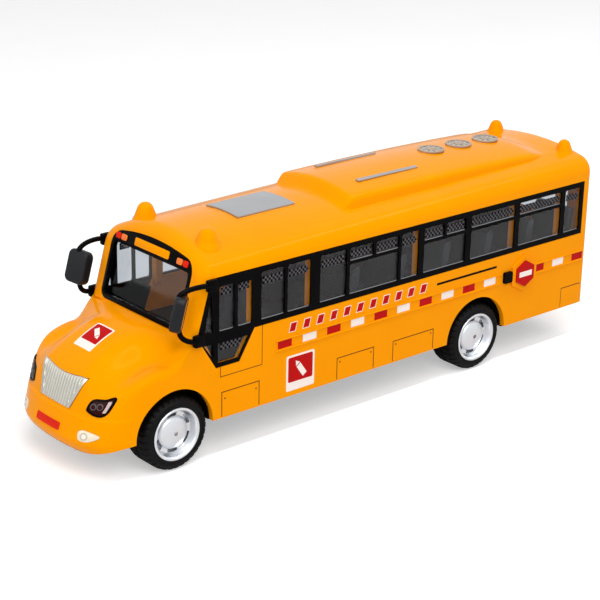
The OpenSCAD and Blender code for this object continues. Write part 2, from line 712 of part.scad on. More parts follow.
module wheel_well(x, s) {
    translate([x + arch_shift, s > 0 ? well_outer_y : -well_inner_y + well_t, arch_z]) rotate([90, 0, 0])
        cylinder(r = well_r + well_t, h = well_outer_y - well_inner_y + well_t);
}
module well_space(x, s) {
    w = half_w - well_inner_y;
    translate([x + arch_shift, s > 0 ? half_w : -well_inner_y, arch_z]) rotate([90, 0, 0])
        cylinder(r = well_r, h = w);
    translate([x + arch_shift - well_r, s > 0 ? well_inner_y : -half_w, 0]) cube([2 * well_r, w, arch_z]);
}
bearing_y = well_inner_y - 4;
bearing_w = 4;
bearing_wall = 2;
module chassis() color([0.09, 0.09, 0.1]) {
    front_x = nose_x - 12;
    tongue = well_inner_y - well_t;
    difference() {
        union() {
            translate([rear_x + wall + seat_gap, -plate_half_w, plate_low_z])
                cube([front_axle_x - 24 - rear_x - wall - seat_gap, 2 * plate_half_w, plate_t]);
            translate([front_axle_x - 26, -tongue - well_t, plate_low_z])
                cube([front_x - front_axle_x + 26, 2 * (tongue + well_t), plate_t]);
            intersection() {
                union()
                    for (x = [front_axle_x, rear_axle_x], s = [-1, 1])
                        wheel_well(x, s);
                translate([rear_x, -half_w, plate_low_z]) cube([nose_x - rear_x, body_w, 40]);
            }
            for (s = [-1, 1])
                translate([front_axle_x - axle_r - bearing_wall, s * bearing_y - bearing_w / 2,
                           axle_z - axle_r - bearing_wall])
                    cube([2 * (axle_r + bearing_wall), bearing_w, 2 * (axle_r + bearing_wall)]);
        }
        for (x = [front_axle_x, rear_axle_x], s = [-1, 1])
            well_space(x, s);
        translate([box_x[0] - seat_gap, box_y[0] - seat_gap, -1])
            cube([box_x[1] - box_x[0] + 2 * seat_gap, box_y[1] - box_y[0] + 2 * seat_gap, 60]);
        translate([front_axle_x, half_w, axle_z]) rotate([90, 0, 0])
            cylinder(r = axle_r + run_gap, h = body_w);
        translate([rear_axle_x, half_w, axle_z]) rotate([90, 0, 0]) cylinder(r = axle_r + 1, h = body_w);
        for (p = post_places)
            translate([p[0], p[1], 0]) {
                cylinder(r = screw_r + 0.2, h = plate_top_z + 1);
                cylinder(r = screw_head_r + 0.2, h = plate_low_z + screw_head_t);
            }
        for (p = ear_screws())
            translate([p[0], p[1], plate_low_z - 1]) cylinder(r = screw_r - 0.2 + press_gap, h = plate_t + 2);
    }
}

function ear_screws() =
    [for (x = [box_x[0] - ear_l / 2, box_x[1] + ear_l / 2], y = [box_y[0] + 4, box_y[1] - 4]) [x, y]];

// One seat seen from the side, its back towards the rear
module seat_profile() {
    polygon([[0, -0.1], [12, -0.1], [12.6, 5.5], [11.8, 7], [3.4, 6.2], [1, seat_h - 1], [0, seat_h],
             [-2, seat_h], [-2.6, seat_h - 1.2], [-0.4, 6]]);
}
floor_gap = 0.6;
floor_half = half_w - wall - floor_gap;
floor_top_z = floor_z + floor_t;
floor_rear_x = rear_x + wall + floor_gap;
floor_front_x = cowl_x - 18;
driver_seat_w = 13;
module seat_at(x, y, w) {
    translate([x, y + w / 2, floor_top_z]) rotate([90, 0, 0]) linear_extrude(w) seat_profile();
}
module seat_tub() color([0.2, 0.2, 0.21]) {
    rows = floor((cowl_x - 52 - rear_x) / seat_pitch);
    seat_y = half_w - wall - post_depth - 0.3 - seat_w / 2;
    translate([floor_rear_x, -floor_half, floor_z])
        cube([floor_front_x - floor_rear_x, 2 * floor_half, floor_t]);
    translate([floor_front_x - 1, -dash_half, floor_z]) cube([dash_l + 6, 2 * dash_half, floor_t]);
    for (i = [0:rows - 1], s = [-1, 1])
        seat_at(floor_rear_x + 5.4 + i * seat_pitch, s * seat_y, seat_w);
    seat_at(cowl_x - 36, wheel_y, driver_seat_w);
}

dash_l = 9;
dash_h = 9.5;
dash_half = half_w - 8;
dash_x = cowl_x - 14;
module dashboard() color([0.06, 0.06, 0.06]) {
    translate([dash_x, dash_half, floor_top_z]) rotate([90, 0, 0]) linear_extrude(2 * dash_half)
        polygon([[0, 0], [dash_l, 0], [dash_l, dash_h], [dash_l - 4, dash_h + 1], [1.5, dash_h - 1.5],
                 [0.4, dash_h - 4]]);
}

// Steering wheel on a short column that stands square to the dashboard's rear face
wheel_y = 13;
steer_r = 5;
column_l = 6.2;
module steering_wheel() color([0.75, 0.75, 0.76]) {
    translate([dash_x, wheel_y, floor_top_z + dash_h - 3]) rotate([0, -58, 0]) {
        rotate_extrude() translate([steer_r, column_l - 0.2]) circle(0.7, $fn = 16);
        translate([0, 0, -0.2]) cylinder(r = 0.9, h = column_l);
        translate([0, 0, column_l - 0.8]) cylinder(r = 1.8, h = 1);
        for (a = [90, 210, 330])
            rotate([0, 0, a]) translate([0, -0.6, column_l - 0.6]) cube([steer_r, 1.2, 0.7]);
    }
}

module windscreen_frame() color("black") {
    on_screen(1.5) difference() {
        linear_extrude(1.7) screen_outline(seat_gap);
        translate([0, 0, -1]) linear_extrude(4) screen_light();
    }
}
module windscreen() color([0.85, 0.88, 0.9, 0.4]) {
    on_screen(2.4) linear_extrude(0.9 - press_gap) screen_outline(seat_gap);
}

module left_window_frame() color("black") on_left(-0.1) window_frame();
module right_window_frame() color("black") on_right(-0.1) window_frame();
module left_glazing() color([0.7, 0.72, 0.75, 0.4]) on_left(frame_t - 0.08) window_sheet();
module right_glazing() color([0.7, 0.72, 0.75, 0.4]) on_right(frame_t - 0.08) window_sheet();

module rear_window_frame() color("black") {
    on_back(frame_t - 0.1) difference() {
        linear_extrude(frame_t) back_outline(seat_gap);
        translate([0, 0, -1]) linear_extrude(frame_t + 2) back_outline(pane_border);
    }
}
module rear_glazing() color([0.7, 0.72, 0.75, 0.4]) {
    on_back(pocket_t - 0.05) linear_extrude(glazing_t - 0.07) back_outline(seat_gap);
}

// Upright bars of the grille, with slots between them and a bright frame round them
grille_slots = 13;
slot_pitch = 1.62;
slot_w = 0.9;
slot_depth = 0.6;
module grille_slots_outline() {
    intersection() {
        grille_outline(-1.1);
        for (i = [0:grille_slots - 1])
            translate([(i - (grille_slots - 1) / 2) * slot_pitch - slot_w / 2, grille_low_z])
                square([slot_w, grille_high_z - grille_low_z]);
    }
}
module grille() color("silver") difference() {
    nose_trim(grille_window) grille_outline(0);
    nose_trim(grille_window, -2, slot_depth - trim_proud) grille_slots_outline();
}
// A headlamp is a bezel round a lens that lies deeper
bezel_w = 0.8;
lens_depth = 0.5;
module headlamp() color([0.18, 0.05, 0.05]) difference() {
    nose_trim(headlamp_window) headlamp_outline(0);
    nose_trim(headlamp_window, -2, lens_depth - trim_proud) headlamp_outline(-bezel_w);
}
module left_headlamp() headlamp();
module right_headlamp() mirror([0, 1, 0]) headlamp();
module fog_lamp() color([0.95, 0.92, 0.85]) nose_trim(fog_window) fog_outline(0);
module left_fog_lamp() fog_lamp();
module right_fog_lamp() mirror([0, 1, 0]) fog_lamp();
module number_plate() color([0.85, 0.1, 0]) nose_trim(number_window) number_outline(0);

// Trim on the roof
hatch_back = 37.9;
hatch_l = 27.2;
hatch_x = [cowl_x - hatch_back - hatch_l, cowl_x - hatch_back];
hatch_half_w = 9.3;
module roof_hatch() color("silver") {
    mid = (hatch_x[0] + hatch_x[1]) / 2;
    r = crown_r(mid);
    slope = atan((ridge_rear_z - ridge_front_z) / cabin_l);
    translate([mid, 0, ridge_z(mid) + 0.08]) rotate([0, slope, 0])
        intersection() {
            translate([0, 0, -r]) rotate([0, 90, 0]) difference() {
                cylinder(r = r + roof_trim_t, h = hatch_x[1] - hatch_x[0], center = true, $fn = 96);
                cylinder(r = r, h = hatch_x[1] - hatch_x[0] + 1, center = true, $fn = 96);
            }
            translate([hatch_x[0] - mid - 1, -hatch_half_w, -3])
                cube([hatch_x[1] - hatch_x[0] + 2, 2 * hatch_half_w, 6]);
        }
}
fan_r = 5.4;
fan_pitch = 15.5;
fan_end_gap = 7.2;
fan_x = [for (i = [0:2]) hump_front_x - hump_l + fan_end_gap + fan_pitch * i];
module roof_fans() color("silver") {
    for (x = fan_x)
        translate([x, 0, hump_crest(x) + seat_gap]) difference() {
            cylinder(r = fan_r, h = roof_trim_t);
            translate([0, 0, roof_trim_t - 0.3]) difference() {
                cylinder(r = 0.8 * fan_r, h = 1);
                translate([0, 0, -1]) cylinder(r = 0.35 * fan_r, h = 3);
            }
        }
}
strip_y = 12;
strip_w = 1.8;
strip_back = 15.8;
strip_l = 31;
strip_x = [hump_front_x - strip_back - strip_l, hump_front_x - strip_back];
module roof_strips() color("silver") {
    tilt = atan(strip_y / hump_crown_r);
    for (s = [-1, 1]) {
        z = hump_top((strip_x[0] + strip_x[1]) / 2, strip_y);
        translate([strip_x[0], s * strip_y, z + 0.05]) rotate([-s * tilt, 0, 0])
            translate([0, -strip_w / 2, 0]) cube([strip_x[1] - strip_x[0], strip_w, roof_trim_t]);
    }
}

module stop_sign() color([0.8, 0, 0]) on_left(-1.6) linear_extrude(0.68) hexagon(0);
module stop_sign_hinge() color("black") {
    on_left(-1.2) linear_extrude(1.2 - press_gap)
        round_rect(hinge_x, hinge_x + hinge_w, stop_z - 2.2, stop_z + 2.4, 0.6);
}

module tail_lamps(s) {
    for (i = [0, 1])
        translate([rear_x + lamp_t - 0.05, s * tail_y, tail_z[i]]) rotate([0, -90, 0]) {
            cylinder(r = tail_r[i], h = lamp_t);
            translate([0, 0, lamp_t - 0.01]) cylinder(r1 = tail_r[i], r2 = tail_r[i] - 0.8, h = tail_dome);
        }
}
module left_tail_lamps() color([0.75, 0, 0]) tail_lamps(1);
module right_tail_lamps() color([0.75, 0, 0]) tail_lamps(-1);

// Mirrors on bent arms, carried by pads on the windscreen pillars
arm_r = 0.95;
mirror_x = cowl_x + 4.6;
mirror_y = half_w - 0.4;
mirror_z = cowl_z + 11;
mirror_h = 12.5;
mirror_w = 9.6;
mirror_t = 4.2;
arm_high = [[cowl_x - 8.6, half_w + 1.25, cowl_z + 18.8], [cowl_x - 4.6, half_w + 1.4, cowl_z + 19.8],
            [cowl_x + 1.4, half_w + 0.8, cowl_z + 19.7], [mirror_x - 0.6, mirror_y, cowl_z + 18.4],
            [mirror_x, mirror_y, mirror_z + mirror_h / 2 - 0.4]];
arm_low = [[cowl_x - 2.8, half_w + 1.25, cowl_z - 0.4], [cowl_x + 0.8, half_w + 1.2, cowl_z - 0.4],
           [mirror_x - 0.8, mirror_y + 0.2, cowl_z + 0.8], [mirror_x, mirror_y, cowl_z + 3],
           [mirror_x, mirror_y, mirror_z - mirror_h / 2 + 0.4]];
// Round tube swept through points, with a ring square to the path at each
rod_sides = 10;
function path_dir(points, i) =
    let (d = points[min(i + 1, len(points) - 1)] - points[max(i - 1, 0)])
    d / norm(d);
function rod_ring(centre, dir) =
    let (u = cross([0, 1, 0], dir) / norm(cross([0, 1, 0], dir)), v = cross(dir, u))
    [for (k = [0:rod_sides - 1])
        let (a = 360 * k / rod_sides)
        centre + arm_r * (cos(a) * v + sin(a) * u)];
function curve(points, t) =
    len(points) == 1 ? points[0]
    : curve([for (i = [0:len(points) - 2]) mix(points[i], points[i + 1], t)], t);
rod_steps = 7;
module rod(points) {
    path = [for (i = [0:rod_steps]) curve(points, i / rod_steps)];
    loft([for (i = [0:rod_steps]) rod_ring(path[i], path_dir(path, i))]);
}
pad_w = 4.4;
pad_t = 2;
module mirror_arm() {
    difference() {
        union() {
            rod(arm_high);
            rod(arm_low);
            for (p = [[cowl_x - 10.8, cowl_z + 16.6], [cowl_x - 5, cowl_z - 2.6]])
                translate([p[0], half_w + seat_gap, p[1]]) cube([pad_w, pad_t, pad_w]);
        }
        mirror_slab(-mirror_t / 2 - seat_gap, mirror_t / 2 + seat_gap, seat_gap, mirror_corner_r);
    }
}
// Slab of the mirror's outline between two depths, measured forward from its middle
mirror_turn = -44;
mirror_corner_r = 2;
module mirror_slab(back, front, grow, r) {
    w = mirror_w / 2 + grow;
    h = mirror_h / 2 + grow;
    translate([mirror_x, mirror_y, mirror_z]) rotate([0, -screen_lean, 0]) rotate([0, 0, mirror_turn])
        rotate([90, 0, 90])
        translate([0, 0, back]) linear_extrude(front - back) round_rect(-w, w, -h, h, r);
}
mirror_rim = 0.9;
mirror_recess = 0.8;
glass_r = 1.4;
module mirror_head() {
    difference() {
        mirror_slab(-mirror_t / 2, mirror_t / 2, 0, mirror_corner_r);
        mirror_slab(-mirror_t / 2 - 1, -mirror_t / 2 + mirror_recess, seat_gap - mirror_rim, glass_r);
    }
}
module mirror_glass() {
    mirror_slab(-mirror_t / 2 + seat_gap, -mirror_t / 2 + mirror_recess - press_gap, -mirror_rim, glass_r);
}
module left_mirror_arm() color([0.05, 0.05, 0.06]) mirror_arm();
module right_mirror_arm() color([0.05, 0.05, 0.06]) mirror([0, 1, 0]) mirror_arm();
module left_mirror_head() color([0.08, 0.08, 0.09]) mirror_head();
module right_mirror_head() color([0.08, 0.08, 0.09]) mirror([0, 1, 0]) mirror_head();
module left_mirror_glass() color("lightgray") mirror_glass();
module right_mirror_glass() color("lightgray") mirror([0, 1, 0]) mirror_glass();

// Wheels, drawn with the outer face at zero and the axle along -Z, then stood at a corner
hub_back = 11.4;
bore_depth = 4.6;
axle_reach = tyre_face_y - bore_depth - 0.3;
module wheel_at(x, s) {
    translate([x, s * tyre_face_y, axle_z]) rotate([-s * 90, 0, 0]) children();
}
module hub() {
    difference() {
        rotate_extrude($fn = 64)
            polygon([[0, -hub_back], [rim_r - 1, -hub_back], [rim_r - 1, -0.9], [rim_r, -0.5], [rim_r, 0.3],
                     [rim_r - 0.5, 0.5], [rim_r - 1.1, 0.1], [rim_r - 1.9, -2.6], [6.2, -3], [5.7, -1.9],
                     [2.6, -1.4], [2.1, -0.9], [0, -0.9]]);
        for (i = [0:5])
            rotate([0, 0, 60 * i + 12]) rotate_extrude(angle = 36) translate([6.3, -5]) square([1.4, 6]);
        translate([0, 0, -hub_back - 1]) cylinder(r = axle_r + press_gap, h = hub_back + 1 - bore_depth);
        translate([0, 0, -1.7]) cylinder(r = 0.7, h = 2, $fn = 24);
    }
}
tread_notches = 22;
module tyre() {
    shoulder = 1.6;
    mid = tyre_w / 2;
    difference() {
        rotate_extrude($fn = 72)
            polygon([[rim_r - 1 + press_gap, -tyre_w], [tyre_r - shoulder, -tyre_w],
                     [tyre_r - 0.4, -tyre_w + 0.7], [tyre_r, -tyre_w + shoulder], [tyre_r, -mid - 0.6],
                     [tyre_r - 0.7, -mid - 0.4], [tyre_r - 0.7, -mid + 0.4], [tyre_r, -mid + 0.6],
                     [tyre_r, -shoulder], [tyre_r - 0.4, -0.7], [tyre_r - shoulder, 0], [rim_r + 1.2, 0.3],
                     [rim_r + press_gap, 0], [rim_r + press_gap, -0.6], [rim_r - 1 + press_gap, -0.9]]);
        for (i = [0:tread_notches - 1])
            rotate([0, 0, 360 * i / tread_notches]) translate([tyre_r - 0.8, -0.6, -3.4]) cube([3, 1.2, 4]);
    }
}
module axle(x) {
    translate([x, axle_reach, axle_z]) rotate([90, 0, 0]) cylinder(r = axle_r, h = 2 * axle_reach);
}
module front_axle() color("silver") axle(front_axle_x);
module rear_axle() color("silver") axle(rear_axle_x);
module front_left_hub() color("silver") wheel_at(front_axle_x, 1) hub();
module front_right_hub() color("silver") wheel_at(front_axle_x, -1) hub();
module rear_left_hub() color("silver") wheel_at(rear_axle_x, 1) hub();
module rear_right_hub() color("silver") wheel_at(rear_axle_x, -1) hub();
module front_left_tyre() color([0.05, 0.05, 0.05]) wheel_at(front_axle_x, 1) tyre();
module front_right_tyre() color([0.05, 0.05, 0.05]) wheel_at(front_axle_x, -1) tyre();
module rear_left_tyre() color([0.05, 0.05, 0.05]) wheel_at(rear_axle_x, 1) tyre();
module rear_right_tyre() color([0.05, 0.05, 0.05]) wheel_at(rear_axle_x, -1) tyre();

// Involute spur gear
pressure = 20;
flank_steps = 4;
function involute(rb, r) = let (a = acos(min(1, rb / r))) tan(a) * 180 / PI - a;
function polar(r, a) = r * [cos(a), sin(a)];
function gear_points(teeth) =
    let (rp = gear_module * teeth / 2, rb = rp * cos(pressure), tip = rp + addendum, root = rp - dedendum,
         half = 90 / teeth - backlash / 4 / rp * 180 / PI + involute(rb, rp), foot = max(rb, root + 0.02),
         radii = concat([root], [for (i = [0:flank_steps]) mix(foot, tip, i / flank_steps)]),
         flank = [for (r = radii) [r, half - involute(rb, max(rb, r))]], n = len(flank))
    [for (k = [0:teeth - 1])
        each concat([for (f = flank) polar(f[0], 360 * k / teeth - f[1])],
                    [for (i = [n - 1:-1:0]) polar(flank[i][0], 360 * k / teeth + flank[i][1])])];
module spur(teeth, span, turn, bore) {
    translate([0, span[1], 0]) rotate([90, 0, 0]) linear_extrude(span[1] - span[0]) difference() {
        rotate(turn) polygon(gear_points(teeth));
        circle(bore + press_gap, $fn = 32);
    }
}
module shaft(span) {
    translate([0, span[1], 0]) rotate([90, 0, 0]) cylinder(r = shaft_r, h = span[1] - span[0]);
}
shaft_span = [box_y[0] + 0.2, box_y[1] - 0.2];

module axle_gear() color("white") {
    translate([rear_axle_x, 0, axle_z]) spur(gear_teeth, axle_gear_y, idler_angle, axle_r);
}
// A pinion is turned so that a gap of its teeth faces the gear that drives it
function mesh_turn(angle) = angle + 180 + 180 / pinion_teeth;
module idler_gear() color("white") {
    translate([idler_x, 0, idler_z]) {
        spur(pinion_teeth, [axle_gear_y[0] - 0.5, idler_gear_y[0]], mesh_turn(idler_angle), shaft_r);
        spur(gear_teeth, idler_gear_y, flywheel_angle, shaft_r);
    }
}
module idler_shaft() color("silver") translate([idler_x, 0, idler_z]) shaft(shaft_span);
module flywheel() color("gray") {
    translate([flywheel_x, flywheel_y[1], flywheel_z]) rotate([90, 0, 0]) difference() {
        cylinder(r = flywheel_r, h = flywheel_w);
        translate([0, 0, -1]) cylinder(r = shaft_r + press_gap, h = flywheel_w + 2);
        for (z = [-1, flywheel_w - 1])
            translate([0, 0, z]) difference() {
                cylinder(r = 0.72 * flywheel_r, h = 2);
                cylinder(r = 0.38 * flywheel_r, h = 2);
            }
    }
}
module flywheel_pinion() color("white") {
    span = [idler_gear_y[0] - 0.6, idler_gear_y[1] + 0.6];
    translate([flywheel_x, 0, flywheel_z]) spur(pinion_teeth, span, mesh_turn(flywheel_angle), shaft_r);
}
module flywheel_shaft() color("silver") translate([flywheel_x, 0, flywheel_z]) shaft(shaft_span);

// Gearbox in two halves with ears on the chassis plate
split_y = 1.4;
module box_half(low, high) {
    t = gearbox_wall;
    difference() {
        union() {
            translate([box_x[0], low, box_z[0]])
                cube([box_x[1] - box_x[0], high - low, box_z[1] - box_z[0]]);
            for (x = [box_x[0] - ear_l, box_x[1]])
                translate([x, low, plate_top_z]) cube([ear_l, high - low, ear_t]);
        }
        translate([box_x[0] + t, box_y[0] + t, box_z[0] + t])
            cube([box_x[1] - box_x[0] - 2 * t, box_y[1] - box_y[0] - 2 * t, box_z[1] - box_z[0] - 2 * t]);
        translate([rear_axle_x, half_w, axle_z]) rotate([90, 0, 0])
            cylinder(r = axle_r + run_gap, h = body_w);
        for (p = [[idler_x, idler_z], [flywheel_x, flywheel_z]])
            translate([p[0], half_w, p[1]]) rotate([90, 0, 0]) cylinder(r = shaft_r + run_gap, h = body_w);
        for (p = ear_screws())
            translate([p[0], p[1], plate_top_z - 1]) cylinder(r = screw_r, h = ear_t + 2);
    }
}
module gearbox_left() color([0.85, 0.85, 0.82]) box_half(split_y, box_y[1]);
module gearbox_right() color([0.85, 0.85, 0.82]) box_half(box_y[0], split_y);

module chassis_screws() color("silver") {
    for (p = post_places)
        translate([p[0], p[1], plate_low_z]) {
            difference() {
                cylinder(r = screw_head_r, h = screw_head_t);
                for (a = [0, 90])
                    rotate([0, 0, a]) translate([-1.5, -0.3, -0.4]) cube([3, 0.6, 1]);
            }
            cylinder(r = screw_r, h = screw_l);
        }
}
module gearbox_screws() color("silver") {
    for (p = ear_screws())
        translate([p[0], p[1], plate_low_z + 0.3]) {
            cylinder(r = screw_r - 0.2, h = plate_t + ear_t - 0.3);
            translate([0, 0, plate_t + ear_t - 0.3]) cylinder(r1 = 1.9, r2 = 1.5, h = 1);
        }
}

body_shell();
chassis();
seat_tub();
dashboard();
steering_wheel();
windscreen_frame();
windscreen();
left_window_frame();
left_glazing();
right_window_frame();
right_glazing();
rear_window_frame();
rear_glazing();
grille();
left_headlamp();
right_headlamp();
left_fog_lamp();
right_fog_lamp();
number_plate();
roof_hatch();
roof_fans();
roof_strips();
stop_sign();
stop_sign_hinge();
left_tail_lamps();
right_tail_lamps();
left_mirror_arm();
right_mirror_arm();
left_mirror_head();
right_mirror_head();
left_mirror_glass();
right_mirror_glass();
front_axle();
rear_axle();
front_left_hub();
front_right_hub();
rear_left_hub();
rear_right_hub();
front_left_tyre();
front_right_tyre();
rear_left_tyre();
rear_right_tyre();
axle_gear();
idler_gear();
idler_shaft();
flywheel();
flywheel_pinion();
flywheel_shaft();
gearbox_left();
gearbox_right();
chassis_screws();
gearbox_screws();
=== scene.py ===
import math

import bmesh
import bpy
import numpy as np
from mathutils import Matrix, Vector


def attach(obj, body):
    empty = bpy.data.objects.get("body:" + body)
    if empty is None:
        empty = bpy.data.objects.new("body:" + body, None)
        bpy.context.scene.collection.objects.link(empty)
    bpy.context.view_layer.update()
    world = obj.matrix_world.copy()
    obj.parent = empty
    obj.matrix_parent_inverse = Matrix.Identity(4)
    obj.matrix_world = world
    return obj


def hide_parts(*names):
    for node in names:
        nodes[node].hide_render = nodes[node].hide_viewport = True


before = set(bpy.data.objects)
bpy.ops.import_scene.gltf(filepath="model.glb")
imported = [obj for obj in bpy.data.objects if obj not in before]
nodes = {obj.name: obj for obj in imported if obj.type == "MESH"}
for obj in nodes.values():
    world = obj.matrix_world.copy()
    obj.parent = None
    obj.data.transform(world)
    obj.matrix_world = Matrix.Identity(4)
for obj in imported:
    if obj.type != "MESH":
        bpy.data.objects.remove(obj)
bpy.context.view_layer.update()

# All sizes are in millimetres and become metres when a mesh is made
MM = 0.001
BODY = "bus_body"
SIDES = (("left", 1.0), ("right", -1.0))

# Layout and cabin
FRONT_AXLE_X = 90.0
REAR_AXLE_X = -60.0
NOSE_X = 124.6
REAR_X = -124.1
HALF_W = 31.0
SILL_Z = 15.0
WALL = 2.2
COWL_X = 84.6
COWL_Z = 48.2
LEAN = math.radians(15.7)
LEAN_DEPTH = 44.0
LEAN_RUN = 34.0
CABIN_L = COWL_X - REAR_X
RIDGE_Z = (80.0, 81.4)
CROWN_R = (60.0, 115.0)
ROOF_CORNER_R = 7.0
FRONT_EDGE_R = 4.5
REAR_EDGE_R = 3.0

# Nose
GRILLE_TOP_Z = 35.2
GRILLE_TOP_X = NOSE_X - 7.7
GRILLE_LOW_Z = GRILLE_TOP_Z - 10.2
GRILLE_HIGH_Z = GRILLE_TOP_Z + 0.8
GRILLE_HALF = (8.9, 13.3)
GRILLE_DISH_R = 58.0
TAPER_X = NOSE_X - 24.6
BUMPER_Z = 15.5
BUMPER_LOW_Z = 9.3
LEDGE_Z = 24.0
LEDGE_STEP = 0.8
LEDGE_H = 1.0
FRONT_POWER = 1.14
GRILLE_LEAN = (7.5 - LEDGE_STEP) / (GRILLE_TOP_Z - BUMPER_Z) ** FRONT_POWER
BUMPER_TUCK = (NOSE_X - FRONT_AXLE_X - 30.0) / (BUMPER_Z - BUMPER_LOW_Z) ** 2
TOP_BLEND = (1.5, 4.0)
SIDE_BLEND = (0.6, 4.0)
NOSE_MID = np.array([94.0, 0.0, 24.0])
NOSE_SPREAD = np.array([36.0, 32.0, 26.0])
NOSE_BACK_X = COWL_X - 26.0

# Bonnet: sweep, crown and fall of its flanks; _AT pairs are the start and the run of a change
HOOD_Z = (COWL_Z + 0.8, GRILLE_TOP_Z + 0.6)
HOOD_SWEEP = 2.3
BONNET_W = 49.0
BONNET_CROWN = 8.0
CROWN_POWER = 2.6
CROWN_AT = (COWL_X - 6.0, 20.0)
CROWN_END = 0.45
CROWN_END_AT = (GRILLE_TOP_X - 16.0, 16.0)
BONNET_FALL = 2.5
FALL_AT_X = (COWL_X + 4.0, 10.0)
FALL_AT_Y = (10.0, 10.0)

# Wings: crest, sweep along it and the valley towards the bonnet
WING_X = FRONT_AXLE_X + 2.0
WING_Z = 40.1
WING_SWEEP = 7.4
WING_VALLEY = 3.0
VALLEY_AT = (25.5, -8.0)
WING_BLEND = 2.8

# Roof
HUMP_FRONT_X = COWL_X - 77.8
HUMP_L = 105.0
HUMP_W = 43.0
HUMP_Z = 85.2
HUMP_SAG = 1.1
HUMP_CROWN_R = 75.0
# Markers: place along the roof and across it, radius and height
MARKERS = ((COWL_X - 17.0, 18.5, 4.3, 5.6), (REAR_X + 5.8, 19.4, 3.5, 4.5))
FAN_XS = (-91.0, -75.5, -60.0)

# Window band
BAND_Z = (46.3, 68.9)
BAND_REAR_X = REAR_X + 4.8
PANE_Z = (48.5, 66.7)
POCKET_T = 1.3
BAY_MARGIN = 0.6
DOOR_REAR_X = COWL_X - 27.4
BAY_STARTS = (53.0, 25.3, -27.4, -80.6, BAND_REAR_X + 11.4)
BAY_ENDS = (29.8, -24.6, -78.1, BAND_REAR_X + 13.9, BAND_REAR_X + 2.2)

# Windscreen
SCREEN_CORNER_R = 4.5
SCREEN_LOW_R = 3.5
SCREEN_RISE = 3.0
SCREEN_HALF_W = HALF_W - FRONT_EDGE_R - 2.3
SCREEN_H = (RIDGE_Z[0] - FRONT_EDGE_R + 0.3 - COWL_Z) / math.cos(LEAN)

# Rub rail, stop sign and tail lamps
RAIL_ENDS = (REAR_X + 3.2, COWL_X - 38.6)
RAIL_Z = (34.1, 38.8)
RAIL_RIB = 0.7
STOP_X = REAR_AXLE_X - 24.8
STOP_Z = 36.3
STOP_GAP = (STOP_X - 7.0, STOP_X + 12.75)
STOP_PAD = [(STOP_X + 7.0 * a, STOP_Z + 7.8 * b)
            for a, b in ((0, -1), (1, -0.5), (1, 0.5), (0, 1), (-1, 0.5), (-1, -0.5))]
TAIL_LAMP_Y = HALF_W - 8.0
TAIL_LAMPS = ((26.0, 3.6), (36.0, 3.0))

# Wheels
TYRE_R = 13.8
TYRE_W = 12.5
RIM_R = 9.9
TYRE_FACE_Y = 30.0
ARCH_R = 16.4
ARCH_Z = 14.8
ARCH_SHIFT = 1.0
TREAD_BLOCKS = 33
TREAD_STEPS = 8
TREAD_CUT = 0.45
SLOT_R = (6.35, 7.75)
SLOT_HALF = 17.0

# Depth of trim below the skin of the nose, and play around it
TRIM_DEPTH = 0.95
TRIM_PLAY = 0.12
# Thickness of print above the surface that carries it
PRINT_T = 0.06
# A radius that closes a turned profile on its axis
AXIS = 1e-4


# Curves

def ease(v, start=0.0, run=1.0):
    """Smooth step from 0 at a start to 1 a run further on; with a negative run it falls."""
    t = np.clip((v - start) / run, 0.0, 1.0)
    return t * t * (3.0 - 2.0 * t)


def mix(a, b, t):
    return a + (b - a) * t


def soft_min(a, b, k):
    h = np.clip(0.5 + 0.5 * (b - a) / k, 0.0, 1.0)
    return mix(b, a, h) - k * h * (1.0 - h)


def soft_max(a, b, k):
    return -soft_min(-a, -b, k)


def arc(centre, radius, start, end, steps):
    """Points on a circle between two angles in degrees."""
    angles = np.radians(np.linspace(start, end, steps + 1))
    return [(centre[0] + radius * math.cos(a), centre[1] + radius * math.sin(a)) for a in angles]


def bezier(points, steps):
    """Points on the Bezier curve of the given control points."""
    rows = []
    for t in np.linspace(0.0, 1.0, steps + 1):
        level = [np.array(p, float) for p in points]
        while len(level) > 1:
            level = [mix(level[i], level[i + 1], t) for i in range(len(level) - 1)]
        rows.append(level[0])
    return rows


def round_rect(a0, a1, b0, b1, r, steps=6):
    """Outline of a rectangle with round corners."""
    corners = [(a1 - r, b1 - r), (a0 + r, b1 - r), (a0 + r, b0 + r), (a1 - r, b0 + r)]
    return [p for i, centre in enumerate(corners) for p in arc(centre, r, 90 * i, 90 * i + 90, steps)]


def box(a0, a1, b0, b1):
    return [(a0, b0), (a1, b0), (a1, b1), (a0, b1)]


def circle(a, b, r, steps=40):
    return arc((a, b), r, 0.0, 360.0, steps)[:-1]


# Mesh forms: each returns points in millimetres and faces

def loft(rings, closed=False):
    """Skin through rings of equal counts, with end caps or closed on itself."""
    count, n = len(rings), len(rings[0])
    faces = []
    for j in range(count if closed else count - 1):
        k = (j + 1) % count
        faces += [[j * n + i, j * n + (i + 1) % n, k * n + (i + 1) % n, k * n + i] for i in range(n)]
    if not closed:
        faces += [list(range(n))[::-1], [(count - 1) * n + i for i in range(n)]]
    return np.concatenate([np.asarray(r, float) for r in rings]), faces


def prism(outline, place_on, low, high):
    """Extrudes an outline between two heights; place_on turns (a, b, height) into a point."""
    return loft([[place_on(a, b, h) for a, b in outline] for h in (low, high)])


def lathe(profile, segments=96):
    """Turns a profile of (radius, height), or one that a function gives for each step."""
    rings = []
    for k, a in enumerate(np.linspace(0.0, 2.0 * math.pi, segments, endpoint=False)):
        rows = profile(k) if callable(profile) else profile
        rings.append([(r * math.cos(a), r * math.sin(a), h) for r, h in rows])
    return loft(rings, closed=True)


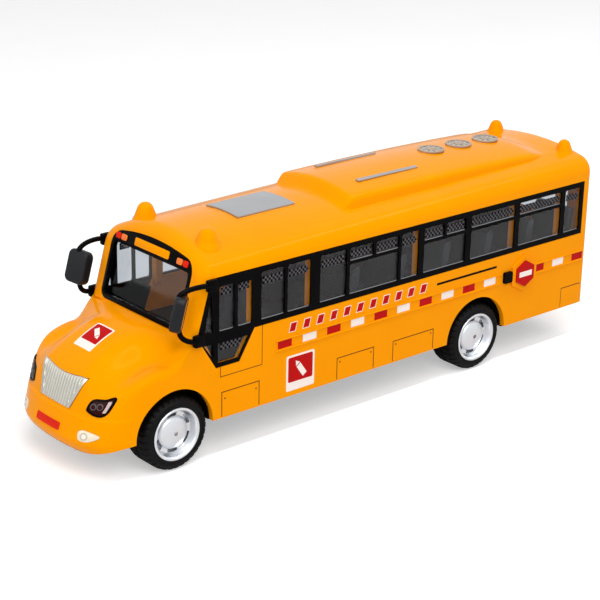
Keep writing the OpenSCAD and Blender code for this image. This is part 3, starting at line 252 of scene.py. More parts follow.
def tube(path, radius, sides=20):
    """Round rod along a list of points."""
    path = np.array(path, float)
    ahead = np.gradient(path, axis=0)
    ahead /= np.linalg.norm(ahead, axis=1)[:, None]
    across = np.cross((0.0, 1.0, 0.0), ahead)
    across /= np.linalg.norm(across, axis=1)[:, None]
    t = np.linspace(0.0, 2.0 * math.pi, sides, endpoint=False)[:, None]
    rows = zip(path, ahead, across)
    return loft([p + radius * (np.cos(t) * np.cross(d, u) + np.sin(t) * u) for p, d, u in rows])


def moved(form, change):
    """A form with each point passed through a function."""
    points, faces = form
    return [change(np.asarray(p, float)) for p in points], faces


def joined(forms):
    """Several forms as one."""
    points, faces = [], []
    for p, f in forms:
        base = len(points)
        points += [tuple(q) for q in p]
        faces += [[i + base for i in face] for face in f]
    return points, faces


def mirrored(form):
    return moved(form, lambda p: np.array((p[0], -p[1], p[2])))


def shifted(form, *by):
    return moved(form, lambda p: p + np.array(by))


# Placing flat forms on the walls; the third value stands out from the wall

def side_wall(s):
    return lambda x, z, out: (x, s * (HALF_W + out), z)


on_left, on_right = side_wall(1.0), side_wall(-1.0)


def on_back(y, z, out):
    return (REAR_X - out, y, z)


def leant(ahead, up):
    """Turns a place ahead and up by the lean of the windscreen."""
    return ahead * math.cos(LEAN) - up * math.sin(LEAN), ahead * math.sin(LEAN) + up * math.cos(LEAN)


def on_screen(y, up, out):
    x, z = leant(out, up)
    return (COWL_X + x, y, COWL_Z + z)


def along_x(y, z, x):
    return (x, y, z)


def along_y(x, z, y):
    return (x, y, z)


def upright(x, y, z):
    return (x, y, z)


# Objects

def make(name, form, smooth=32.0):
    """Makes a mesh object from a form, in metres, with outward normals."""
    points, faces = form
    mesh = bpy.data.meshes.new(name)
    mesh.from_pydata([tuple(float(c) * MM for c in p) for p in points], [], [list(f) for f in faces])
    build = bmesh.new()
    build.from_mesh(mesh)
    bmesh.ops.remove_doubles(build, verts=build.verts, dist=1e-7)
    bmesh.ops.recalc_face_normals(build, faces=build.faces)
    build.to_mesh(mesh)
    build.free()
    obj = bpy.data.objects.new(name, mesh)
    bpy.context.scene.collection.objects.link(obj)
    shade(obj, smooth)
    return obj


def shade(obj, smooth):
    """Smooth shading with edges above an angle kept sharp."""
    mesh = obj.data
    mesh.polygons.foreach_set("use_smooth", [True] * len(mesh.polygons))
    mesh.set_sharp_from_angle(angle=math.radians(smooth))
    mesh.update()


def discard(obj):
    mesh = obj.data
    bpy.data.objects.remove(obj)
    bpy.data.meshes.remove(mesh)


def taken(obj):
    """Form of a helper object, which is then removed."""
    points = [np.array(v.co) / MM for v in obj.data.vertices]
    faces = [list(f.vertices) for f in obj.data.polygons]
    discard(obj)
    return points, faces


def carve(obj, keep=(), add=(), cut=(), smooth=32.0):
    """Keeps what lies in forms, joins forms to it and cuts forms out of it, in that order."""
    tools = [("INTERSECT", f) for f in keep] + [("UNION", f) for f in add] + [("DIFFERENCE", f) for f in cut]
    helpers = []
    for i, (operation, form) in enumerate(tools):
        helpers.append(make(f"{obj.name}_tool_{i}", form))
        step = obj.modifiers.new("step", "BOOLEAN")
        step.operation = operation
        step.solver = "MANIFOLD"
        step.object = helpers[-1]
    apply_modifiers(obj)
    for helper in helpers:
        discard(helper)
    shade(obj, smooth)
    return obj


def apply_modifiers(obj):
    graph = bpy.context.evaluated_depsgraph_get()
    mesh = bpy.data.meshes.new_from_object(obj.evaluated_get(graph))
    old = obj.data
    obj.modifiers.clear()
    obj.data = mesh
    bpy.data.meshes.remove(old)


def soften(obj, width, segments=2, angle=40.0):
    """Rounds the sharp edges of a simple piece."""
    step = obj.modifiers.new("round", "BEVEL")
    step.width = width * MM
    step.segments = segments
    step.limit_method = "ANGLE"
    step.angle_limit = math.radians(angle)
    apply_modifiers(obj)
    shade(obj, 45.0)
    return obj


def place(obj, material, body=BODY, stands_for=()):
    """Gives a piece its material, body and the nodes that it stands for."""
    obj.data.materials.clear()
    obj.data.materials.append(material)
    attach(obj, body)
    if stands_for:
        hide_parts(*stands_for)
    return obj


def piece(name, form, material, body=BODY, stands_for=(), smooth=32.0, soft=()):
    """A finished piece from a form; soft holds the numbers for rounding its edges."""
    obj = make(name, form, smooth)
    if soft:
        soften(obj, *soft)
    return place(obj, material, body, stands_for)


# Materials

def feed(node, values):
    """Links sockets to inputs of a node, or sets them to values, and returns the node."""
    for key, value in values.items():
        if isinstance(value, bpy.types.NodeSocket):
            node.id_data.links.new(value, node.inputs[key])
        else:
            node.inputs[key].default_value = value
    return node


def surface(name):
    """A new node material with its shader and an object-space coordinate source."""
    material = bpy.data.materials.new(name)
    material.use_nodes = True
    parts = material.node_tree.nodes
    return material, parts["Principled BSDF"], parts.new("ShaderNodeTexCoord").outputs["Object"]


def noise(coords, scale, detail, stretch=None):
    parts = coords.id_data.nodes
    if stretch:
        coords = feed(parts.new("ShaderNodeMapping"), {"Vector": coords, "Scale": stretch}).outputs["Vector"]
    node = feed(parts.new("ShaderNodeTexNoise"), {"Vector": coords, "Scale": scale, "Detail": detail})
    return node.outputs["Fac"]


def ramp(value, edge, low, high):
    """Ramp from one colour to another that starts an edge above zero and ends as far below one."""
    node = feed(value.id_data.nodes.new("ShaderNodeValToRGB"), {"Fac": value})
    for element, position, colour in zip(node.color_ramp.elements, (edge, 1.0 - edge), (low, high)):
        element.position = position
        element.color = (*colour, 1.0)
    return node.outputs["Color"]


def linear(colour):
    """Linear values of an sRGB colour given as 0 to 255."""
    shares = [c / 255.0 for c in colour]
    return tuple(s / 12.92 if s <= 0.04045 else ((s + 0.055) / 1.055) ** 2.4 for s in shares)


def finish(name, colour, rough, vary, bump, specular=0.5, metallic=0.0, grain=900.0, stretch=None,
           tint=(1.0, 1.0, 1.0)):
    """A moulded, plated or painted finish: slight colour drift, uneven gloss and a fine surface."""
    material, shader, coords = surface(name)
    base = np.array(linear(colour))
    shift = ramp(noise(coords, 60.0, 3.0), 0.3, base * (1.0 - vary), np.minimum(base * (1.0 + vary), 1.0))
    gloss = ramp(noise(coords, 140.0, 5.0, stretch), 0.25, (rough * 0.8,) * 3, (min(1.0, rough * 1.25),) * 3)
    fine = coords.id_data.nodes.new("ShaderNodeBump")
    feed(fine, {"Strength": bump, "Distance": 0.0002, "Height": noise(coords, grain, 2.0, stretch)})
    feed(shader, {"Base Color": shift, "Roughness": gloss, "Normal": fine.outputs["Normal"],
                  "Metallic": metallic, "Specular IOR Level": specular, "Specular Tint": (*tint, 1.0)})
    return material


def clear_sheet(name, tint, rough):
    """Clear moulded sheet with faint flow marks."""
    material, shader, coords = surface(name)
    base = np.array(linear(tint))
    flow = noise(coords, 40.0, 2.0, (1.0, 1.0, 4.0))
    shift = ramp(flow, 0.3, base * 0.95, base)
    gloss = ramp(flow, 0.3, (rough,) * 3, (rough * 2.0,) * 3)
    feed(shader, {"Base Color": shift, "Roughness": gloss, "Transmission Weight": 1.0, "IOR": 1.3})
    return material


# Finishes: name, sRGB colour, roughness, colour drift, depth of the fine surface and specular level
YELLOW = finish("yellow_plastic", (255, 156, 0), 0.15, 0.02, 0.015, 0.07, tint=(1.0, 0.62, 0.06))
BLACK = finish("black_gloss", (5, 4, 5), 0.24, 0.2, 0.02, 0.035)
BASE_BLACK = finish("black_base", (14, 14, 15), 0.55, 0.15, 0.12, 0.08)
HEAD_GREY = finish("mirror_shell", (28, 29, 32), 0.32, 0.1, 0.04, 0.16)
INSIDE = finish("grey_inside", (58, 58, 61), 0.5, 0.08, 0.08, 0.3)
CHROME = finish("silver_plate", (196, 194, 184), 0.28, 0.04, 0.02, metallic=1.0)
PLATE = finish("satin_plate", (172, 174, 177), 0.38, 0.05, 0.05, metallic=1.0)
WHEEL_PLATE = finish("wheel_plate", (222, 225, 229), 0.3, 0.04, 0.02, metallic=1.0)
DARK_LENS = finish("dark_lens", (42, 4, 3), 0.2, 0.25, 0.02, 0.08)
REFLECTOR = finish("lamp_reflector", (84, 74, 76), 0.25, 0.08, 0.02, 0.2, metallic=0.3)
# Pale pink for the stripe on the headlamp lenses: a painted reflection of the light
LENS_REFLECTION = finish("painted_lamp_reflection", (206, 176, 172), 0.24, 0.05, 0.02, 0.4)
PALE_LENS = finish("pale_lens", (240, 226, 200), 0.2, 0.05, 0.03, 0.4)
RED = finish("red_print", (190, 2, 4), 0.3, 0.06, 0.03, 0.08)
PLATE_RED = finish("plate_red", (226, 32, 4), 0.3, 0.05, 0.03, 0.1)
WHITE = finish("white_print", (250, 238, 230), 0.35, 0.03, 0.03, 0.3)
CHECK_GREY = finish("check_grey", (88, 86, 90), 0.35, 0.05, 0.03, 0.1)
FAN_WELL = finish("fan_well", (176, 156, 138), 0.4, 0.1, 0.05, metallic=0.5)
# Pale grey for thin strips at the foot of the panes: a painted highlight, the light line on their lower edge
SILL_HIGHLIGHT = finish("painted_sill_highlight", (150, 152, 155), 0.35, 0.05, 0.03, 0.3)
AMBER = finish("amber_lens", (244, 120, 30), 0.22, 0.08, 0.03, 0.4)
LINE_BROWN = finish("line_print", (104, 50, 2), 0.35, 0.1, 0.03, 0.1)
MIRROR = finish("mirror_face", (222, 226, 230), 0.05, 0.02, 0.0, metallic=1.0)
STEEL = finish("steel", (168, 168, 172), 0.3, 0.06, 0.06, metallic=1.0, stretch=(1.0, 0.05, 1.0))
RUBBER = finish("tyre_rubber", (12, 12, 13), 0.5, 0.2, 0.25, 0.1, grain=1600.0)
NYLON = finish("gear_nylon", (228, 228, 220), 0.42, 0.04, 0.08)
CAST = finish("flywheel_metal", (92, 92, 96), 0.42, 0.15, 0.15, metallic=1.0)
GLASS = clear_sheet("clear_sheet", (236, 240, 244), 0.015)


# Body skin

def along(x):
    return np.clip((COWL_X - x) / CABIN_L, 0.0, 1.0)


def ridge_z(x):
    return mix(*RIDGE_Z, along(x))


def crown_r(x):
    return 1.0 / mix(1.0 / CROWN_R[0], 1.0 / CROWN_R[1], along(x))


def roof_z(x, y):
    return ridge_z(x) - y * y / (2.0 * crown_r(x))


def cabin_section(x, inset, low):
    """Section of the cabin from sill to sill over the roof, as (y, z)."""
    w = HALF_W - inset
    rc = max(0.6, ROOF_CORNER_R - inset)
    r = float(crown_r(x)) - inset
    top = float(ridge_z(x)) - inset
    zc = top - r + math.sqrt((r - rc) ** 2 - (w - rc) ** 2)
    a = math.asin((w - rc) / (r - rc))
    turns = np.linspace(math.pi / 2.0, a, 13)[:-1]
    side = [((w - rc) + rc * math.sin(t), zc + rc * math.cos(t)) for t in turns]
    crown = [(r * math.sin(t), top - r + r * math.cos(t)) for t in np.linspace(-a, a, 45)]
    return [(-w, low)] + [(-y, z) for y, z in side] + crown + side[::-1] + [(w, low)]


def front_ring(depth, inset, low):
    lean = float(ease(depth, LEAN_DEPTH, -LEAN_RUN)) * math.tan(LEAN)
    x = COWL_X - depth
    return [(x - lean * (z - COWL_Z), y, z) for y, z in cabin_section(x, inset, low)]


def rear_ring(depth, inset, low):
    return [(REAR_X + depth, y, z) for y, z in cabin_section(REAR_X + depth, inset, low)]


def edge_steps(r, count):
    """Depths behind a round edge, each with how far a section draws in there."""
    turns = np.linspace(math.pi / 2.0, 0.0, count)
    return [(r * (1.0 - math.sin(t)), r * (1.0 - math.cos(t))) for t in turns]


def cabin_form():
    rear = [rear_ring(*step, SILL_Z) for step in edge_steps(REAR_EDGE_R, 9)]
    middle = [rear_ring(t * CABIN_L, 0.0, SILL_Z) for t in np.linspace(0.05, 0.75, 12)]
    screen = [front_ring(d, 0.0, SILL_Z) for d in np.linspace(LEAN_DEPTH, 6.0, 20)]
    front = [front_ring(*step, SILL_Z) for step in edge_steps(FRONT_EDGE_R, 13)[::-1]]
    return loft(rear + middle + screen + front)


def cabin_hollow_form():
    low = SILL_Z - 20.0
    rear = [rear_ring(WALL, WALL, low)]
    middle = [rear_ring(t * CABIN_L, WALL, low) for t in np.linspace(0.1, 0.75, 6)]
    screen = [front_ring(d, WALL, low) for d in (LEAN_DEPTH, 36.0, 28.0, 20.0, 12.0, 6.0, WALL)]
    return loft(rear + middle + screen)


def hood_z(x):
    t = np.maximum(0.0, (x - COWL_X) / (GRILLE_TOP_X - COWL_X))
    return mix(*HOOD_Z, t ** HOOD_SWEEP)


def nose_top(x, y):
    """Height of the bonnet and of the wings beside it."""
    y = np.abs(y)
    crown = BONNET_CROWN * ease(x, *CROWN_AT) * mix(1.0, CROWN_END, ease(x, *CROWN_END_AT))
    fall = BONNET_FALL * ease(x, *FALL_AT_X) * ease(y, *FALL_AT_Y)
    bonnet = hood_z(x) - crown * (2.0 * y / BONNET_W) ** CROWN_POWER - fall
    wing = WING_Z - ((x - WING_X) / WING_SWEEP) ** 2 - WING_VALLEY * ease(y, *VALLEY_AT)
    return soft_max(bonnet, wing, WING_BLEND)


def nose_front(y, z):
    """Forward reach of the nose: a leaning front over a tucked bumper, drawn back towards the sides."""
    reach = NOSE_X - GRILLE_LEAN * np.maximum(0.0, z - BUMPER_Z) ** FRONT_POWER
    reach = reach - LEDGE_STEP * ease(z, LEDGE_Z - LEDGE_H / 2.0, LEDGE_H)
    reach = reach - BUMPER_TUCK * np.maximum(0.0, BUMPER_Z - z) ** 2
    side = np.maximum(0.0, 1.0 - np.minimum(1.0, np.abs(y) / HALF_W) ** 2.5)
    return TAPER_X + (reach - TAPER_X) * side ** 0.4


def nose_depth(x, y, z):
    """Depth below the skin of the nose, about in millimetres."""
    edge = mix(*TOP_BLEND, ease(np.abs(y), GRILLE_HALF[1] - 1.0, 8.0))
    inner = soft_min(nose_top(x, y) - z, nose_front(y, z) - x, edge)
    return soft_min(inner, HALF_W - np.abs(y), mix(*SIDE_BLEND, ease(x, COWL_X - 3.0, 12.0)))


def last_inside(inside, shape, low, high):
    """Farthest values between two ends that are still inside, found by halving."""
    low, high = np.full(shape, low), np.full(shape, high)
    for _ in range(26):
        middle = (low + high) / 2.0
        hit = inside(middle)
        low, high = np.where(hit, middle, low), np.where(hit, high, middle)
    return low


def nose_form(inset, across, around):
    """The nose as seen from its middle: each ray meets the skin once."""
    b = np.radians(np.linspace(-86.0, 86.0, across))[:, None]
    turns = [np.linspace(-60.0, 130.0, around), np.linspace(130.0, 300.0, 14)[1:-1]]
    a = np.radians(np.concatenate(turns))[None, :]
    flat = np.cos(b)
    rays = NOSE_SPREAD * np.stack([np.cos(a) * flat, np.sin(b) * np.ones_like(a), np.sin(a) * flat], -1)

    def inside(reach):
        x, y, z = np.moveaxis(NOSE_MID + rays * reach[..., None], -1, 0)
        ends = np.minimum(x - NOSE_BACK_X + 4.0 * inset, z + 2.0 + 2.0 * inset)
        return np.minimum(nose_depth(x, y, z) - inset, ends) > 0.0

    reach = last_inside(inside, rays.shape[:2], 0.0, 2.4)
    return loft(list(NOSE_MID + rays * reach[..., None]))


def nose_underside():
    """Everything below the curved lower edge of the nose."""
    back, ahead, under = NOSE_BACK_X - 6.0, NOSE_X + 15.4, -40.0
    rings = []
    for y in np.linspace(-HALF_W - 3.0, HALF_W + 3.0, 69):
        z = mix(BUMPER_LOW_Z, SILL_Z, min(1.0, abs(y) / HALF_W) ** 3)
        rings.append([(back, y, under), (ahead, y, under), (ahead, y, z), (FRONT_AXLE_X + 16.0, y, z),
                      (FRONT_AXLE_X, y, SILL_Z), (back, y, SILL_Z)])
    return loft(rings)


def wing_wedge(back):
    """The space ahead of the cabin that the nose takes up."""
    front, rear, low = COWL_X + 20.0, 76.0, -20.0
    outline = [(COWL_X - 1.6, 47.8), (front, 47.8), (front, low), (rear, low), (rear, 35.8)]
    return prism([(x - back, z) for x, z in outline], along_y, -HALF_W - 5.0, HALF_W + 5.0)


def hump_rise(x):
    return np.minimum(ease(x, HUMP_FRONT_X, -6.5), ease(x, HUMP_FRONT_X - HUMP_L - 14.0, 16.0))


def hump_crest(x):
    return HUMP_Z - HUMP_SAG * ((x - HUMP_FRONT_X + 0.4 * HUMP_L) / (0.6 * HUMP_L)) ** 2


def hump_top(x, y):
    return mix(roof_z(x, y) - 0.7, hump_crest(x) - y * y / (2.0 * HUMP_CROWN_R), hump_rise(x))


def hump_form():
    """The roof unit: shares of its half width with the drop there, carried along its length."""
    half = [(s, 0.0) for s in np.linspace(0.06, 0.86, 14)]
    half += bezier([(0.86, 0.0), (0.94, 0.0), (0.965, -0.9), (0.972, -2.4)], 8)[1:]
    half += [(0.985, -4.2), (1.0, -6.2), (1.0, -14.0)]
    section = [(-s, d) for s, d in half[::-1]] + [(0.0, 0.0)] + half
    steps = [*np.linspace(HUMP_L + 13.4, HUMP_L, 14), *(np.linspace(0.96, 0.1, 20) * HUMP_L),
             *np.linspace(9.0, 0.3, 18)]
    rings = []
    for step in steps:
        x = HUMP_FRONT_X - step
        rise = float(hump_rise(x))
        w = HUMP_W / 2.0 - 1.2 * (1.0 - rise)
        rings.append([(x, s * w, float(hump_top(x, s * w)) + d * mix(0.6, 1.0, rise)) for s, d in section])
    return loft(rings)


def marker_form(x, y, r, h):
    profile = [(AXIS, -3.0), (1.3 * r, -3.0)]
    profile += bezier([(1.12 * r, -0.6), (0.98 * r, 0.1), (0.86 * r, 0.3 * h)], 6)
    profile += bezier([(0.7 * r, 0.62 * h), (0.52 * r, 1.0 * h), (AXIS, h)], 10)
    return shifted(lathe(profile, 48), x, y, float(roof_z(x, y)))


def rail_forms(wall):
    """Two ribs of the rub rail, broken for the stop sign on the left."""
    ends = (RAIL_ENDS[0], *STOP_GAP, RAIL_ENDS[1]) if wall is on_left else RAIL_ENDS
    forms = []
    for low in (RAIL_Z[0], RAIL_Z[1] - RAIL_RIB):
        section = round_rect(-0.6, 0.45, low, low + RAIL_RIB, 0.22, 4)
        for rear, front in zip(ends[0::2], ends[1::2]):
            forms.append(prism(section, lambda out, z, x: wall(x, z, out), rear, front))
    return forms


def band_outline():
    """Pocket of the side frames, with the dropped light of the door."""
    low, high = BAND_Z
    top_x = COWL_X - 3.4 - math.tan(LEAN) * (high - COWL_Z)
    return [(BAND_REAR_X, low), (BAND_REAR_X, high), (top_x, high), (COWL_X - 3.1, COWL_Z - 0.2),
            (COWL_X - 11.2, 35.0), (COWL_X - 21.8, 35.0), (COWL_X - 28.7, low)]


def bay_forms(wall):
    """Openings behind the panes of a side, the door's last."""
    low, high, m = PANE_Z[0] - BAY_MARGIN, PANE_Z[1], BAY_MARGIN
    outlines = [box(x0 - m, x1 + m, low, high + m) for x1, x0 in zip(BAY_STARTS, BAY_ENDS)]
    outlines.append([(DOOR_REAR_X - m, low), (DOOR_REAR_X - m, high), (COWL_X - 10.0, high),
                     (COWL_X - 5.8, low), (COWL_X - 11.8, 36.2), (COWL_X - 21.0, 36.2)])
    return [prism(o, wall, -WALL - 1.0, 1.0) for o in outlines]


def post_forms(wall):
    """Solid posts left between the bays, inside the wall."""
    spans = zip((DOOR_REAR_X,) + BAY_ENDS[:4], BAY_STARTS)
    outlines = [box(x0 + BAY_MARGIN, x1 - BAY_MARGIN, BAND_Z[0] - 6.0, BAND_Z[1] + 3.0) for x1, x0 in spans]
    return [prism(o, wall, -WALL - 2.0, -WALL + 0.5) for o in outlines]


def screen_outline(shrink):
    """Windscreen with round corners and an arched top, as (y, height along the lean)."""
    w = SCREEN_HALF_W - shrink
    arch = (SCREEN_HALF_W ** 2 + SCREEN_RISE ** 2) / (2.0 * SCREEN_RISE)
    low = 0.4 + shrink + SCREEN_LOW_R
    bottom = arc((-w + SCREEN_LOW_R, low), SCREEN_LOW_R, 180, 270, 8)
    bottom += arc((w - SCREEN_LOW_R, low), SCREEN_LOW_R, 270, 360, 8)
    corner = SCREEN_CORNER_R - shrink
    flat = w - corner
    round_ys = flat + corner * np.sin(np.radians(np.linspace(90, 0, 10)))
    top = []
    for y in [*round_ys, *np.linspace(flat, 0, 14)[1:]]:
        past = max(0.0, y - flat)
        drop = corner - math.sqrt(max(0.0, corner * corner - past * past))
        top.append((y, SCREEN_H - arch + math.sqrt((arch - shrink) ** 2 - y * y) - drop))
    return bottom + top + [(-y, up) for y, up in top[-2::-1]]


def back_outline(shrink):
    w = HALF_W - 9.0 - shrink
    return round_rect(-w, w, BAND_Z[0] + shrink, BAND_Z[1] - shrink, 4.0, 8)


# Trim that follows the skin of the nose

def skin_x(y, z, proud):
    """Forward reach of the nose at a height, moved out of its skin by a proud distance."""
    return last_inside(lambda x: nose_depth(x, y, z) + proud > 0.0, np.shape(y), TAPER_X - 30.0, NOSE_X + 6.0)


def skin_z(x, y, proud):
    """Height of the bonnet, moved out of its skin in the same way."""
    return last_inside(lambda z: nose_depth(x, y, z) + proud > 0.0, np.shape(x), *BONNET_SPAN)


# Views of the skin: its function, its placing, the span that a cut goes through, and the rim of a sheet
BONNET_SPAN = (20.0, 60.0)
AHEAD = (skin_x, along_x, (TAPER_X - 20.0, NOSE_X + 10.0), 1.5)
ABOVE = (skin_z, upright, BONNET_SPAN, 0.5)


def skin_sheet(outline, proud, depth, steps, view=AHEAD, wider=0.0):
    """Closed plate over the window around an outline; proud is a number or a function of both values."""
    skin, place_on, _, rim = view
    p = np.array(outline)
    low, high = p.min(0) - rim - wider, p.max(0) + rim + wider
    a, b = np.meshgrid(*(np.linspace(low[i], high[i], steps[i] + 1) for i in (0, 1)))
    lift = proud(a, b) if callable(proud) else proud
    front, back = (np.stack(place_on(a, b, skin(a, b, out)), -1) for out in (lift, -depth))
    return loft([np.concatenate([f, k[::-1]]) for f, k in zip(front, back)])


def outline_gap(outline, y, z):
    """Distance from points to the edges of an outline."""
    best = np.full(np.shape(y), 1e9)
    for (y0, z0), (y1, z1) in zip(outline, outline[1:] + outline[:1]):
        dy, dz = y1 - y0, z1 - z0
        t = np.clip(((y - y0) * dy + (z - z0) * dz) / (dy * dy + dz * dz), 0.0, 1.0)
        best = np.minimum(best, np.hypot(y - y0 - t * dy, z - z0 - t * dz))
    return best


def grille_outline(grow):
    """Trapezoid with a dished upper edge, as (y, z)."""
    low, high = (half + grow for half in GRILLE_HALF)
    top = []
    for y in np.linspace(high, -high, 25):
        dish = GRILLE_DISH_R - math.sqrt(GRILLE_DISH_R ** 2 - y * y)
        top.append((y, min(GRILLE_TOP_Z + dish, GRILLE_HIGH_Z) + grow))
    return [(-low, GRILLE_LOW_Z - grow), (low, GRILLE_LOW_Z - grow)] + top


def smooth_outline(points, steps=4):
    """Closed curve through the points of an outline."""
    n = len(points)
    p = np.array(points, float)
    rows = []
    for i in range(n):
        a, b, c, d = p[i - 1], p[i], p[(i + 1) % n], p[(i + 2) % n]
        for t in np.linspace(0.0, 1.0, steps, endpoint=False):
            rows.append(0.5 * (2.0 * b + (c - a) * t + (2.0 * a - 5.0 * b + 4.0 * c - d) * t * t
                               + (3.0 * b - a - 3.0 * c + d) * t ** 3))
    return [tuple(r) for r in rows]


def grown(outline, grow):
    """An outline moved out along its corner normals."""
    p = np.array(outline, float)
    before, after = np.roll(p, 1, 0), np.roll(p, -1, 0)
    d = after - before
    n = np.stack([d[:, 1], -d[:, 0]], -1)
    n /= np.linalg.norm(n, axis=1)[:, None]
    area = np.sum(p[:, 0] * after[:, 1] - after[:, 0] * p[:, 1])
    return [tuple(r) for r in p + n * grow * (1.0 if area > 0 else -1.0)]


# Outlines of the left lamps and of the number plate, as (y, z)
HEADLAMP_Y = HALF_W - 14.7
HEADLAMP = ((0.3, 26.8), (0.8, 28.6), (1.7, 30.1), (3.4, 30.6), (6.1, 31.0), (8.3, 32.1), (9.3, 31.5),
            (8.8, 29.0), (7.9, 26.7), (6.4, 25.2), (4.3, 25.0), (2.2, 25.5), (0.8, 26.1))
HEADLAMP = smooth_outline([(HEADLAMP_Y + y, z) for y, z in HEADLAMP])
# Stripe along the outer edge of the headlamp lens, a painted reflection, as (y, z)
REFLECTION_BAND = ((7.4, 30.6), (8.3, 30.8), (8.35, 29.9), (7.4, 26.9), (6.9, 26.6), (6.3, 26.7), (7.1, 28.8))
REFLECTION_BAND = [(HEADLAMP_Y + y, z) for y, z in REFLECTION_BAND]
FOG_Y = HALF_W - 15.6
FOG = ((0.7, 16.6), (0.7, 19.1), (3.3, 19.7), (8.1, 18.3), (5.2, 16.2), (2.4, 15.8))
FOG = smooth_outline([(FOG_Y + y, z) for y, z in FOG])
FOG_MID = (FOG_Y + 3.2, 17.8)
NUMBER = round_rect(-6.9, 6.9, 16.9, 19.5, 0.3, 3)


def handed(outline, s):
    """An outline of the left side, turned over for the right."""
    return outline if s > 0.0 else [(-y, z) for y, z in outline][::-1]


def through(outline, view=AHEAD):
    return prism(outline, view[1], *view[2])


def domed(outline, edge, rise, run, start=0.0):
    """Height above the skin that changes inwards from the edge of an outline."""
    return lambda y, z: edge + rise * ease(outline_gap(outline, y, z), start, run)


def skin_piece(name, outline, proud, steps, material, stands_for=(), holes=(),
               depth=TRIM_DEPTH, view=AHEAD):
    """A plate on the nose cut to an outline, with holes."""
    obj = make(name, skin_sheet(outline, proud, depth, steps, view))
    carve(obj, keep=[through(outline, view)], cut=[through(h, view) for h in holes], smooth=35.0)
    place(obj, material, stands_for=stands_for)


def nose_pocket(outline):
    """Form of the pocket that a piece of trim sits in."""
    sheet = make("pocket", skin_sheet(outline, 3.0, TRIM_DEPTH + 0.15, (24, 24), wider=0.5))
    return taken(carve(sheet, keep=[through(outline)]))


def build_shell():
    """The yellow moulding: cabin, nose, hump, markers, pad and rails, hollowed and opened."""
    shell = carve(make("shell", cabin_form()), cut=[wing_wedge(0.0)])
    nose = make("nose", nose_form(0.0, 220, 260))
    add = [taken(carve(nose, cut=[nose_underside()])), hump_form()]
    add += [marker_form(x, s * y, r, h) for x, y, r, h in MARKERS for s in (-1.0, 1.0)]
    add += [prism(STOP_PAD, on_left, -0.5, 0.9)] + rail_forms(on_left) + rail_forms(on_right)
    carve(shell, add=add)
    hollow = make("cabin_hole", cabin_hollow_form())
    spared = [wing_wedge(WALL + 1.0)] + post_forms(on_left) + post_forms(on_right)
    cut = [taken(carve(hollow, cut=spared)), nose_form(WALL, 60, 80)]
    reach = TYRE_W + 3.0
    for x in (FRONT_AXLE_X, REAR_AXLE_X):
        arch = circle(x + ARCH_SHIFT, ARCH_Z, ARCH_R, 128)
        cut += [prism(arch, along_y, s * HALF_W - reach, s * HALF_W + reach) for s in (-1.0, 1.0)]
    for wall in (on_left, on_right):
        cut += [prism(band_outline(), wall, -POCKET_T, 1.0)] + bay_forms(wall)
    cut.append(prism(screen_outline(0.0), on_screen, -WALL - 1.5, 2.5))
    cut.append(prism(back_outline(0.0), on_back, -POCKET_T, 2.0))
    cut.append(prism(back_outline(2.2), on_back, -WALL - 1.0, 2.0))
    seats = [circle(s * TAIL_LAMP_Y, z, r + 0.15, 64) for s in (-1.0, 1.0) for z, r in TAIL_LAMPS]
    cut += [prism(seat, along_x, REAR_X - 1.0, REAR_X + 1.1) for seat in seats]
    pockets = [grille_outline(TRIM_PLAY), NUMBER]
    pockets += [handed(grown(lamp, TRIM_PLAY), s) for _, s in SIDES for lamp in (HEADLAMP, FOG)]
    cut += [nose_pocket(outline) for outline in pockets]
    carve(shell, cut=cut, smooth=28.0)
    place(shell, YELLOW, stands_for=("body_shell",))


build_shell()


def grille_bars(y, z):
    """Height of upright bars inside a plain rim."""
    half = mix(*GRILLE_HALF, (z - GRILLE_LOW_Z) / (GRILLE_TOP_Z - GRILLE_LOW_Z))
    groove = (0.5 - 0.5 * np.cos(2.0 * math.pi * y / 1.5)) ** 2.5
    return 0.4 - 0.6 * ease(half - np.abs(y), 1.7, 0.3) * groove


def build_nose_trim():
    skin_piece("grille_plate", grille_outline(0.0), grille_bars, (300, 40), CHROME,
               ("grille",))
    board = domed(NUMBER, 0.35, -0.2, 0.2, 0.3)
    skin_piece("number_board", NUMBER, board, (90, 40), PLATE_RED, ("number_plate",))
    for side, s in SIDES:
        lamp, inner, fog = (handed(o, s) for o in (HEADLAMP, grown(HEADLAMP, -0.5), FOG))
        skin_piece(f"{side}_headlamp_bezel", lamp, 0.4, (48, 48), BLACK, holes=[inner])
        skin_piece(f"{side}_headlamp_lens", inner, domed(inner, 0.05, 0.25, 2.5), (60, 60), DARK_LENS,
                   (f"{side}_headlamp",))
        skin_piece(f"{side}_fog_lens", fog, domed(fog, 0.1, 0.3, 1.2), (60, 40), PALE_LENS,
                   (f"{side}_fog_lamp",))


build_nose_trim()


# Wheels: forms have the outer face at zero and the axle along the third axis

def tyre_profile():
    r, w, m, rim = TYRE_R, TYRE_W, -TYRE_W / 2.0, RIM_R
    return [(rim - 0.98, -w), (rim + 0.6, -w), (r - 1.8, -w), (r - 0.8, -w + 0.35), (r - 0.2, -w + 1.0),
            (r, -w + 1.9), (r, m - 0.7), (r - 0.6, m - 0.5), (r - 0.6, m + 0.5), (r, m + 0.7), (r, -1.9),
            (r - 0.2, -1.0), (r - 0.8, -0.35), (r - 1.3, -0.1), (r - 1.6, 0.25), (r - 2.1, 0.3),
            (r - 2.4, 0.0), (rim + 0.7, 0.1), (rim + 0.25, 0.15), (rim + 0.02, -0.2), (rim + 0.02, -0.6),
            (rim - 0.98, -0.9)]


def tread_profile(step):
    """Profile of the tyre at a step of the turn, with tread blocks cut at both shoulders."""
    rows = []
    for r, h in tyre_profile():
        shoulder = r > TYRE_R - 0.9 and abs(h + TYRE_W / 2.0) > 2.6
        rows.append((r - TREAD_CUT if shoulder and step % TREAD_STEPS < 2 else r, h))
    return rows


